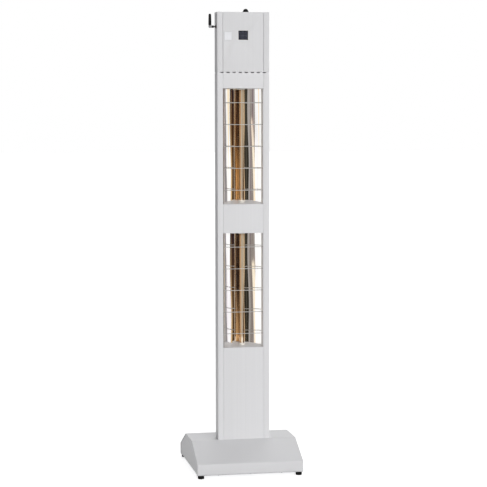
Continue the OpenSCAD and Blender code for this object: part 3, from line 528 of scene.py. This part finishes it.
def placed(form, place, turn=Matrix()):
    """Turns a form and moves it to its place."""
    bmesh.ops.transform(form, matrix=Matrix.Translation(place) @ turn, verts=form.verts)
    return form


def merged_copy(node):
    """A solid's mesh as one closed form of flat faces."""
    form = bmesh.new()
    form.from_mesh(frame["nodes"][node].data)
    bmesh.ops.remove_doubles(form, verts=form.verts, dist=0.002 * mm)
    bmesh.ops.dissolve_limit(
        form, angle_limit=math.radians(0.6), verts=form.verts, edges=form.edges
    )
    return form


def eased_node(node, material, width, slot):
    """A CAD solid again, with its edges broken as the real piece's are."""
    return piece_from(
        ease(merged_copy(node), width), node + "_eased", material, rest_body, node,
        slot=slot, crease=20,
    )


def reflector_trough(node, material):
    """The bent reflector sheet: smooth across, and a little wavy along its length."""
    low, high = (Vector(corner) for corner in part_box(node))
    half = (high.x - low.x) / 2 - reflector_gauge / 2
    rim, vertex = low.y, high.y - reflector_gauge / 2
    flange, curve = rim + 8 * mm, rim + 16 * mm
    steps = 32
    line = [(-half, rim), (-half, flange)]
    for step in range(-steps, steps + 1):
        share = step / steps
        line.append((share * half, curve + (vertex - curve) * (1 - share * share)))
    line += [(half, flange), (half, rim)]
    form = bmesh.new()
    verts = [form.verts.new((x, y, low.z)) for x, y in line]
    edges = [form.edges.new(pair) for pair in zip(verts, verts[1:])]
    rise = (high.z - low.z) / reflector_rows
    for row in range(reflector_rows):
        made = bmesh.ops.extrude_edge_only(form, edges=edges)["geom"]
        verts = [part for part in made if isinstance(part, bmesh.types.BMVert)]
        bmesh.ops.translate(form, vec=(0, 0, rise), verts=verts)
        level = low.z + rise * (row + 0.5)
        edges = [
            part for part in made
            if isinstance(part, bmesh.types.BMEdge) and min(v.co.z for v in part.verts) > level
        ]
    for vert in form.verts:
        depth = (vert.co.y - rim) / (vertex - rim)
        up = vert.co.z - low.z
        # A long wave and a finer ripple, none at the rims and most in the middle
        wave = math.sin(up * 9.0 + 1) * math.sin(vert.co.x * 70 + 0.6)
        ripple = math.sin(up * 21.0 + vert.co.x * 30) * math.sin(vert.co.x * 130 + 2)
        vert.co.y -= (0.45 * (1 + wave) + 0.12 * (1 + ripple)) * mm * depth
    bmesh.ops.recalc_face_normals(form, faces=form.faces)
    bmesh.ops.solidify(form, geom=form.faces[:], thickness=reflector_gauge)
    return piece_from(form, node + "_sheet", material, rest_body, node, slot="bright_reflector")


def lamp_tube(node, material):
    """Quartz sleeve with drawn-in ends."""
    low, high = (Vector(corner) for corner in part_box(node))
    radius, length = (high.x - low.x) / 2 / mm, (high.z - low.z) / mm
    bore, drawn_r, shoulder, lip, rows = radius - 1.3, radius - 0.3, 0.6, 0.4, 12
    profile = [(bore, lip), (drawn_r, 0), (radius, shoulder)]
    profile += [(radius, length * row / rows) for row in range(1, rows)]
    profile += [(radius, length - shoulder), (drawn_r, length), (bore, length - lip)]
    form = turned(profile + [(bore, lip)], 64)
    placed(form, ((low.x + high.x) / 2, (low.y + high.y) / 2, low.z))
    return piece_from(form, node + "_quartz", material, rest_body, node, slot="gold_quartz")


def filament_coils(material):
    """The coiled wire of each lamp, with the discs that centre it."""
    wire, coil_r, coil_steps = 0.4 * mm, 1.8 * mm, 10
    disc_hole, disc_r, disc_t, disc_gaps = 6.9, 7.6, 0.6, 12
    whole = bmesh.new()
    for node in lamp_tubes:
        low, high = (Vector(corner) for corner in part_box(node))
        centre = ((low.x + high.x) / 2, (low.y + high.y) / 2)
        length = high.z - low.z
        pitch = length / 2 ** coil_doublings
        form = bmesh.new()
        ring = bmesh.ops.create_circle(form, segments=4, radius=wire)["verts"]
        turn = Matrix.Rotation(math.radians(90), 4, "X")
        shift = Matrix.Translation((centre[0] + coil_r, centre[1], low.z))
        bmesh.ops.transform(form, matrix=shift @ turn, verts=ring)
        bmesh.ops.spin(
            form, geom=form.verts[:] + form.edges[:], cent=(*centre, low.z), axis=(0, 0, 1),
            dvec=(0, 0, pitch / coil_steps), angle=math.tau, steps=coil_steps,
        )
        for step in range(coil_doublings):
            copies = bmesh.ops.duplicate(form, geom=form.verts[:] + form.edges[:] + form.faces[:])
            verts = [part for part in copies["geom"] if isinstance(part, bmesh.types.BMVert)]
            bmesh.ops.translate(form, vec=(0, 0, pitch * 2 ** step), verts=verts)
        closed(form)
        for gap in range(1, disc_gaps):
            disc = turned([
                (disc_hole, 0), (disc_r, 0), (disc_r, disc_t), (disc_hole, disc_t), (disc_hole, 0),
            ], 24)
            add_form(form, placed(disc, (*centre, low.z + length * gap / disc_gaps)))
        add_form(whole, form)
    return piece_from(
        whole, "filament_coils", material, rest_body, "lamp_filaments", slot="filament_wire"
    )


def add_form(form, extra):
    """Adds a finished form to another, and clears it."""
    carrier = bpy.data.meshes.new("carrier")
    extra.to_mesh(carrier)
    extra.free()
    form.from_mesh(carrier)
    bpy.data.meshes.remove(carrier)


def rubber_feet(material):
    """Ribbed rubber feet with a chamfered tread."""
    low, high = (Vector(corner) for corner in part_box("rubber_feet"))
    radius, height = 12.0, (high.z - low.z) / mm
    dish, dish_r, tread_r, chamfer, groove_r = 1.0, 6.5, 7.2, 1.5, radius - 0.5
    profile = [(0, dish), (dish_r, dish), (tread_r, 0), (radius - chamfer, 0), (radius, chamfer)]
    for groove in (3.6, 6.0, 8.4):
        profile += [(radius, groove - 0.5), (groove_r, groove - 0.1)]
        profile += [(groove_r, groove + 0.3), (radius, groove + 0.7)]
    profile += [(radius, height - 0.6), (radius - 0.5, height), (0, height)]
    form = bmesh.new()
    for foot_x in (low.x + radius * mm, high.x - radius * mm):
        for foot_y in (low.y + radius * mm, high.y - radius * mm):
            add_form(form, placed(turned(profile, 40), (foot_x, foot_y, low.z)))
    return piece_from(
        form, "ribbed_feet", material, rest_body, "rubber_feet", slot="foot_rubber", crease=50
    )


def button_boot(material):
    """The button's rubber dome, with a rolled lip and its stem."""
    low, high = (Vector(corner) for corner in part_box("button_cap"))
    radius = (high.x - low.x) / 2 / mm
    tall = (high.z - low.z) / mm
    foot = tall - radius
    stem, chamfer = 5.9, 0.4
    profile = [(0, 0), (stem - chamfer, 0), (stem, chamfer), (stem, foot), (radius - 1.2, foot)]
    # The rolled lip, the waist above it, and then the dome
    profile += [(radius - 0.3, foot + 0.3), (radius, foot + 0.9), (radius - 0.3, foot + 1.7)]
    profile += [(radius - 0.9, foot + 2.0), (radius - 0.7, foot + 2.6)]
    dome_r, dome_steps, first_lift = radius * 0.97, 12, 16
    for i in range(1, dome_steps + 1):
        lift = math.radians(first_lift + (90 - first_lift) * i / dome_steps)
        profile.append((dome_r * math.cos(lift), foot + radius * math.sin(lift)))
    form = placed(turned(profile, 48), ((low.x + high.x) / 2, (low.y + high.y) / 2, low.z))
    return piece_from(
        form, "button_boot", material, "button", "button_cap", slot="button_rubber", crease=50
    )


def return_spring(material):
    """The button's spring: a coil between two closed rings."""
    low, high = (Vector(corner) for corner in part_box("button_spring"))
    wire = 0.5 * mm
    radius = (high.x - low.x) / 2 - wire
    centre = ((low.x + high.x) / 2, (low.y + high.y) / 2)
    turns, steps, sides = 5, 24, 8
    form = bmesh.new()
    loop = bmesh.ops.create_circle(form, segments=sides, radius=wire)["verts"]
    start = Matrix.Translation((centre[0] + radius, centre[1], low.z + wire))
    turn = Matrix.Rotation(math.radians(90), 4, "X")
    bmesh.ops.transform(form, matrix=start @ turn, verts=loop)
    bmesh.ops.spin(
        form, geom=form.verts[:] + form.edges[:], cent=(*centre, low.z), axis=(0, 0, 1),
        dvec=(0, 0, (high.z - low.z - 2 * wire) / (turns * steps)), angle=math.tau * turns,
        steps=turns * steps,
    )
    bmesh.ops.edgeloop_fill(form, edges=[edge for edge in form.edges if edge.is_boundary])
    closed(form)
    round_wire = []
    for i in range(sides + 1):
        angle = math.tau * i / sides
        round_wire.append(
            ((radius + wire * math.cos(angle)) / mm, wire * math.sin(angle) / mm)
        )
    for height in (low.z + wire, high.z - wire):
        add_form(form, placed(turned(round_wire, 24), (*centre, height)))
    piece = piece_from(
        form, "return_spring", material, rest_body, "button_spring", slot="steel", crease=60
    )
    travel = next(
        joint["range_m"][1] for joint in frame["record"]["behaviour"]["joints"]
        if joint["name"] == "button_press"
    )
    1 - travel / (high.z - low.z)
    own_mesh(piece)


def aerial_whip(material):
    """The aerial's moulded rod: grip rings at its foot, a tongue in the fork, a round tip."""
    low, high = (Vector(corner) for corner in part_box("aerial_rod"))
    centre = ((low.x + high.x) / 2, (low.y + high.y) / 2)
    tongue_r, hole = 4.2, 1.25
    pivot = low.z + tongue_r * mm
    tall = (high.z - pivot) / mm
    foot, tip = (high.x - low.x) / 2 / mm, 4.9
    start, chamfer, groove_r = 5.2, 0.5, foot - 0.45
    profile = [(0, start), (foot - chamfer, start), (foot, start + chamfer)]
    for groove in (8.0, 10.4, 12.8):
        profile += [(foot - 0.05, groove - 0.6), (groove_r, groove - 0.2)]
        profile += [(groove_r, groove + 0.2), (foot - 0.1, groove + 0.6)]
    # The shaft narrows fast at first and then slowly up to the tip
    profile += [(foot - 0.25, 20), (foot - 0.5, 30), (tip, tall - tip)]
    tip_steps = 8
    for i in range(1, tip_steps + 1):
        lift = math.radians(90 * i / tip_steps)
        profile.append((tip * math.cos(lift), tall - tip + tip * math.sin(lift)))
    form = placed(turned(profile, 40), (*centre, pivot))
    half, face_r, edge = 2, tongue_r - 0.3, 1.7
    tongue = turned([
        (hole, -half), (face_r, -half), (tongue_r, -edge), (tongue_r, edge), (face_r, half),
        (hole, half), (hole, -half),
    ], 40)
    placed(tongue, (*centre, pivot), Matrix.Rotation(math.radians(90), 4, "X"))
    add_form(form, tongue)
    neck = bmesh.new()
    bmesh.ops.create_cube(neck, size=1)
    neck_size = Matrix.Diagonal((8.0 * mm, 3.9 * mm, 4.4 * mm, 1))
    placed(neck, (*centre, pivot + 4.0 * mm), neck_size)
    bmesh.ops.delete(neck, geom=[f for f in neck.faces if abs(f.normal.z) > 0.9], context="FACES")
    add_form(form, neck)
    return piece_from(
        form, "aerial_whip", material, "aerial", "aerial_rod", slot="black_plastic", crease=40
    )


def solid_boxes(node):
    """The lowest and highest corner of each separate solid in a node."""
    form = merged_copy(node)
    waiting = set(form.verts)
    boxes = []
    while waiting:
        reached = [waiting.pop()]
        places = []
        while reached:
            vert = reached.pop()
            places.append(vert.co.copy())
            for edge in vert.link_edges:
                other = edge.other_vert(vert)
                if other in waiting:
                    waiting.remove(other)
                    reached.append(other)
        low = Vector(min(place[i] for place in places) for i in range(3))
        high = Vector(max(place[i] for place in places) for i in range(3))
        boxes.append((low, high))
    form.free()
    return sorted(boxes, key=lambda box: tuple(round(part, 5) for part in box[0]))


def socket_screw(head_r, head_h, shank_r, length, sunk):
    """A screw with a hexagon socket; its head stands on Z = 0, or is sunk below it."""
    top = 0 if sunk else head_h
    rim, hexagon_r, socket_deep = 0.62 * head_r, 0.48 * head_r, 0.6 * head_h
    end = top - length
    line = [(0, end), (shank_r - 0.4, end), (shank_r, end + 0.5)]
    if sunk:
        line += [(shank_r, -head_h), (head_r, -0.3), (head_r, 0)]
    else:
        # A pan head, rounded by shares of its own size
        line += [(shank_r, 0), (head_r, 0), (head_r, 0.45 * head_h)]
        line += [(0.93 * head_r, 0.75 * head_h), (0.8 * head_r, 0.95 * head_h)]
    form = turned(line + [(rim, top)], 24)
    ring = [edge for edge in form.edges if edge.is_boundary]
    corners = bmesh.ops.create_circle(form, segments=6, radius=hexagon_r * mm)["verts"]
    bmesh.ops.translate(form, vec=(0, 0, top * mm), verts=corners)
    mouth = list({edge for vert in corners for edge in vert.link_edges})
    bmesh.ops.bridge_loops(form, edges=ring + mouth)
    floor_ring = bmesh.ops.extrude_edge_only(form, edges=mouth)["geom"]
    verts = [part for part in floor_ring if isinstance(part, bmesh.types.BMVert)]
    bmesh.ops.translate(form, vec=(0, 0, -socket_deep * mm), verts=verts)
    bottom = [edge for edge in form.edges if edge.is_boundary]
    bmesh.ops.edgeloop_fill(form, edges=bottom)
    return closed(form)


def screws(node, head_h, shank_r, sunk, material, slot):
    """Each screw of a node again, with its socket, facing out of the heater."""
    whole = bmesh.new()
    middle = Vector((0, 0, (cad_box[0][2] + cad_box[1][2]) / 2))
    for low, high in solid_boxes(node):
        size, centre = high - low, (low + high) / 2
        along = max(range(3), key=lambda axis: size[axis])
        out = Vector((0, 0, 0))
        out[along] = 1 if centre[along] > middle[along] else -1
        head_r = min(size) / 2 / mm
        form = socket_screw(head_r, head_h, shank_r, size[along] / mm, sunk)
        seat = centre + out * (size[along] / 2 - (0 if sunk else head_h * mm))
        placed(form, seat, Vector((0, 0, 1)).rotation_difference(out).to_matrix().to_4x4())
        add_form(whole, form)
    return piece_from(whole, node + "_socketed", material, rest_body, node, slot=slot)


def lamp_middle(z):
    """The height of the middle of the lamp that is nearest to a height."""
    middles = [(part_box(node)[0][2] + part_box(node)[1][2]) / 2 for node in lamp_tubes]
    return min(middles, key=lambda middle: abs(middle - z))


def ceramic_caps(material):
    """Fired lamp caps with two grooves, rounded rims and the socket for the tube."""
    whole = bmesh.new()
    for low, high in solid_boxes("lamp_caps"):
        radius, tall = (high.x - low.x) / 2 / mm, (high.z - low.z) / mm
        lead_hole, socket, floor = 1.55, radius - 2.94, tall - 11
        chamfer, groove_r, bed, mouth = 0.8, radius - 0.9, 0.7, 1.1
        line = [(lead_hole, 0), (radius - chamfer, 0), (radius, chamfer)]
        for groove in (5.5, tall - 6.5):
            line += [(radius, groove - mouth), (groove_r, groove - bed)]
            line += [(groove_r, groove + bed), (radius, groove + mouth)]
        line += [(radius, tall - 1.2), (radius - 0.4, tall - 0.4), (radius - 1.1, tall)]
        line += [(radius - 2.5, tall), (socket, tall - 0.5), (socket, floor)]
        form = turned(line + [(lead_hole, floor), (lead_hole, 0)], 48)
        foot = low.z < lamp_middle(low.z)
        seat = Vector(((low.x + high.x) / 2, (low.y + high.y) / 2, low.z if foot else high.z))
        turn = Matrix() if foot else Matrix.Rotation(math.pi, 4, "X")
        add_form(whole, placed(form, seat, turn))
    return piece_from(
        whole, "grooved_caps", material, rest_body, "lamp_caps", slot="lamp_ceramic"
    )


# Stage

def stage_floor():
    """A pale floor that runs out of sight and keeps the heater's shadow."""
    pale = Finish("studio_floor")
    seen = pale.node("LightPath", out="Is Camera Ray")
    mirrored = pale.node("LightPath", out="Is Glossy Ray")
    through = pale.node("LightPath", out="Is Transmission Ray")
    grey, half_width, glow_level, camera_extra = 0.7, 60, 0.62, 0.1
    any_view = (seen + mirrored + through).math("MINIMUM", 1.0)
    lift = any_view * glow_level + seen * camera_extra
    paint = pale.node("BsdfDiffuse", None, {"Color": (grey, grey, grey, 1)})
    glow = pale.node("Emission", None, {"Color": (1, 1, 1, 1), "Strength": lift})
    pale.close(pale.node("AddShader", None, [paint, glow]))
    sheet = bmesh.new()
    bmesh.ops.create_grid(sheet, x_segments=1, y_segments=1, size=half_width)
    mesh = bpy.data.meshes.new("studio_floor")
    sheet.to_mesh(mesh)
    sheet.free()
    mesh.materials.append(pale.material)
    floor = bpy.data.objects.new("studio_floor", mesh)
    bpy.context.scene.collection.objects.link(floor)


def only_in_gloss(name, form, material):
    """Stands a form on the stage that only glossy rays meet."""
    mesh = bpy.data.meshes.new(name)
    form.to_mesh(mesh)
    form.free()
    mesh.materials.append(material)
    board = bpy.data.objects.new(name, mesh)
    board.visible_camera = False
    board.visible_diffuse = False
    board.visible_shadow = False
    board.visible_transmission = False
    bpy.context.scene.collection.objects.link(board)


def studio_card():
    """A painted card in an arc before the heater that only gloss sees: the room, with its
    plum, olive and slate parts and the cream blind that the reflectors mirror."""
    card = Finish("studio_card")
    x, y, z = card.axes()
    # Where the arc's places fall on a flat wall before the heater: metres toward +X
    wall_x = x / y * -card_radius

    def band(low, high, soft=0.06):
        return wall_x.within(low, high, soft)

    # The fall runs from 0 at the top of each window's image to 1 at its foot
    lower_top, lower_reach, upper_top, upper_reach, split = 0.68, 0.66, 1.50, 0.65, 0.76
    lower = z < split
    fall = lower * ((lower_top - z) / lower_reach) + (1 - lower) * ((upper_top - z) / upper_reach)
    fall = fall.math("MINIMUM", 1.0).math("MAXIMUM", 0.0)
    cloud = card.noise(1.3, 2, stretch=(1.6, 1, 0.5))
    streak = card.noise(7, 3, stretch=(1, 1, 0.03), rough=0.7)
    plum = card.tint(fall, dye(46, 33, 38), dye(112, 82, 52))
    plum = card.tint(streak.ramp(0.56, 0.66, 0.0, 0.9), plum, dye(186, 150, 108))
    plum = card.tint(band(4.1, 5.3, 0.2) * fall, plum, dye(222, 186, 136))
    plum = card.tint(band(3.05, 3.9, 0.1) * fall * 0.8, plum, dye(46, 32, 22))
    plum = card.tint(streak.ramp(0.32, 0.46, 0.7, 0.0), plum, dye(36, 26, 24))
    olive = card.tint(streak.ramp(0.4, 0.66), dye(34, 30, 24), dye(82, 78, 69))
    slate = card.tint(cloud.ramp(0.35, 0.65), dye(134, 124, 118), dye(162, 153, 148))
    slate = card.tint(streak.ramp(0.46, 0.64), slate, dye(196, 190, 186))
    slate = card.tint(streak.ramp(0.34, 0.44, 0.6, 0.0), slate, dye(96, 90, 86))
    # White, with the slate, olive and plum parts side by side on it
    olive_from, plum_from, plum_to = -1.28, 2.4, 5.15
    colour = card.tint(band(plum_from, plum_to, 0.12), dye(255, 254, 252), plum)
    colour = card.tint(band(olive_from, plum_from), colour, olive)
    colour = card.tint(band(-3.35 + fall * 0.1, olive_from), colour, slate)
    # Three narrow frames: one in the olive, one in the plum and a faint one in the slate
    colour = card.tint(band(-0.36, 0.15, 0.04), colour, dye(214, 182, 144))
    colour = card.tint(band(2.6, 2.8, 0.03), colour, dye(196, 186, 170))
    colour = card.tint(band(-1.62, -1.5, 0.03) * 0.6, colour, dye(196, 190, 182))
    # The blind leans away and widens toward the foot of each window
    blind_top = 0.22
    lean = (fall - blind_top).math("MAXIMUM", 0.0) + lower * 0.25
    blind = band(-2.55 - lean * 1.7, -2.2 - lean * 0.6, 0.05) * fall.ramp(blind_top, 0.3)
    edge = band(-2.75 - lean * 1.8, -2.55 - lean * 1.7, 0.04) * fall.ramp(0.12, 0.3)
    colour = card.tint(edge, colour, dye(172, 150, 138))
    colour = card.tint(blind, colour, dye(255, 240, 216))
    card.close(card.node("Emission", None, {"Color": colour, "Strength": 1.0}))
    form = bmesh.new()
    foot = form.verts.new((0, -card_radius, stage_low))
    side = form.edges.new((foot, form.verts.new((0, -card_radius, stage_high))))
    arc_start, arc_end = math.radians(-47), math.radians(59)
    bmesh.ops.rotate(
        form, cent=(0, 0, 0), matrix=Matrix.Rotation(arc_start, 3, "Z"), verts=form.verts
    )
    bmesh.ops.spin(
        form, geom=list(side.verts) + [side], cent=(0, 0, 0), axis=(0, 0, 1),
        angle=arc_end - arc_start, steps=48,
    )
    only_in_gloss("studio_card", form, card.material)


def rear_flag():
    """A grey flag behind the heater's left side, which keeps the gloss of that side down."""
    flag = Finish("rear_flag")
    grey = (*cool_grey(150), 1)
    flag.close(flag.node("Emission", None, {"Color": grey, "Strength": 1.0}))
    form = bmesh.new()
    bmesh.ops.create_grid(form, x_segments=1, y_segments=1, size=0.5)
    wide, tall = 3.6, 4.0
    place = (-2.1, 3.0, 2.01)
    upright = Matrix.Rotation(math.radians(90), 4, "X")
    placed(form, place, upright @ Matrix.Diagonal((wide, tall, 1, 1)))
    only_in_gloss("rear_flag", form, flag.material)


def studio_air():
    """The world: white to the eye and in gloss, a soft grey fill on everything else."""
    world = bpy.data.worlds.new("studio")
    world.use_nodes = True
    bpy.context.scene.world = world
    tree = world.node_tree
    tree.nodes.clear()
    path = tree.nodes.new("ShaderNodeLightPath")
    either = tree.nodes.new("ShaderNodeMath")
    either.operation = "ADD"
    both = tree.nodes.new("ShaderNodeMath")
    both.operation = "ADD"
    both.use_clamp = True
    level = tree.nodes.new("ShaderNodeMapRange")
    level.inputs["To Min"].default_value = fill_level
    level.inputs["To Max"].default_value = 1.0
    air = tree.nodes.new("ShaderNodeBackground")
    air.inputs["Color"].default_value = (1, 1, 1, 1)
    end = tree.nodes.new("ShaderNodeOutputWorld")
    link = tree.links.new
    link(path.outputs["Is Camera Ray"], either.inputs[0])
    link(path.outputs["Is Glossy Ray"], either.inputs[1])
    link(either.outputs[0], both.inputs[0])
    link(path.outputs["Is Transmission Ray"], both.inputs[1])
    link(both.outputs[0], level.inputs["Value"])
    link(level.outputs[0], air.inputs["Strength"])
    link(air.outputs[0], end.inputs["Surface"])


bpy.context.scene.view_settings.view_transform = "Standard"
stand_camera()
stage_floor()
studio_air()
soft_light("key_light", (1.5, -5.0, 1.35), power=2.12, spread=50)
soft_light("rear_light", (1.5, 4.0, 4.0), power=0.66, spread=60)
studio_card()
rear_flag()

# The record's slots and the finish of each
display_low, display_high = (Vector(corner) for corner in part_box("display_window"))
board_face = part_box("control_board")[0][1] + 1.7 * mm
fork_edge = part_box("aerial_swivel")[0][0] + 10.2 * mm
reflector_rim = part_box("lower_reflector")[1][0] - 1.4 * mm
finishes = {
    "base_paint": powder_coat("base_powder_coat", 214),
    "column_paint": powder_coat("column_powder_coat", 219, die_lines=True),
    "painted_screw": powder_coat("screw_powder_coat", 205),
    "bright_reflector": polished_reflector(reflector_rim),
    "plain_aluminium": brushed_metal("mill_aluminium", dye(196, 198, 201), "z"),
    "steel": zinc_plate(),
    "guard_steel": brushed_metal("guard_steel", dye(196, 195, 194), "x", rough=0.42),
    "nickel": brushed_metal("black_nickel", dye(96, 94, 92), "y", lines=0.08),
    "foot_rubber": moulded(
        "foot_rubber", dye(10, 10, 10), dye(24, 24, 23), 0.6, grain_scale=700, deep=0.08, sheen=0.2
    ),
    "button_rubber": moulded(
        "button_rubber", dye(8, 8, 8), dye(20, 20, 20), 0.5, grain_scale=1200, deep=0.04, sheen=0.2
    ),
    "black_plastic": moulded("black_plastic", dye(12, 12, 13), dye(28, 28, 29), 0.45, sheen=0.25),
    "aerial_grey": fork_highlight_moulding("aerial_moulding", fork_edge),
    "lamp_ceramic": fired_ceramic("lamp_ceramic", dye(214, 208, 196), dye(240, 237, 230)),
    "gold_quartz": gold_quartz(),
    "filament_wire": tungsten(),
    "lead_sleeve": glass_sleeve(),
    "display_glass": display_glass(display_low, display_high),
    "sensor_plastic": sensor_plastic(),
    "circuit_board": circuit_board(board_face),
}
for part in frame["record"]["subparts"]:
    solid = frame["nodes"][part["node"]]
    for holder in solid.material_slots:
        holder.material = finishes[part["material_slot"]]

frame["nodes"]["guard_rails"].material_slots[0].material = rail_zinc()
frame["nodes"]["reflector_end_plates"].material_slots[0].material = brushed_metal(
    "end_plate_sheet", dye(222, 221, 222), "x", rough=0.36, shine=0.25
)

# Sheet metal with broken edges
eased_node("base_cover", finishes["base_paint"], width=0.5, slot="base_paint")
# Painted light: the end plates get a lighter copy of the base's paint
end_plate_lightened_paint = powder_coat("end_plate_lightened_coat", 221)
eased_node("base_end_plates", end_plate_lightened_paint, width=0.5, slot="base_paint")
for node in (
    "left_side_profile", "right_side_profile", "lower_front_panel", "middle_front_panel",
    "upper_front_panel", "rear_panel", "vent_collar",
):
    eased_node(node, finishes["column_paint"], width=0.3, slot="column_paint")
# Painted shade: the head gets a darker copy of the column's paint
head_darkened_paint = powder_coat("head_darkened_coat", 213, die_lines=True)
for node in (
    "head_floor", "head_left_profile", "head_right_profile", "head_front_cover",
    "head_rear_cover", "head_top_cap",
):
    eased_node(node, head_darkened_paint, width=0.3, slot="column_paint")

# Reflectors, lamps and small pieces with the detail that their solids leave out
for node in ("lower_reflector", "upper_reflector"):
    reflector_trough(node, finishes["bright_reflector"])
for node in lamp_tubes:
    lamp_tube(node, finishes["gold_quartz"])
filament_coils(finishes["filament_wire"])
rubber_feet(finishes["foot_rubber"])
button_boot(finishes["button_rubber"])
return_spring(finishes["steel"])
aerial_whip(finishes["black_plastic"])
ceramic_caps(finishes["lamp_ceramic"])
cover_screw = {"head_h": 2.4, "shank_r": 2.0, "sunk": False}
cap_screw = {"head_h": 2.4, "shank_r": 2.5, "sunk": True}
screws("cover_screws", material=finishes["steel"], slot="steel", **cover_screw)
screws("cap_screws", material=finishes["painted_screw"], slot="painted_screw", **cap_screw)
for node in ("gland_body", "gland_cap_nut", "gland_locknut", "button_collar"):
    eased_node(node, finishes["black_plastic"], width=0.5, slot="black_plastic")
for node, slot in (("display_window", "display_glass"), ("sensor_window", "sensor_plastic")):
    eased_node(node, finishes[slot], width=0.4, slot=slot)
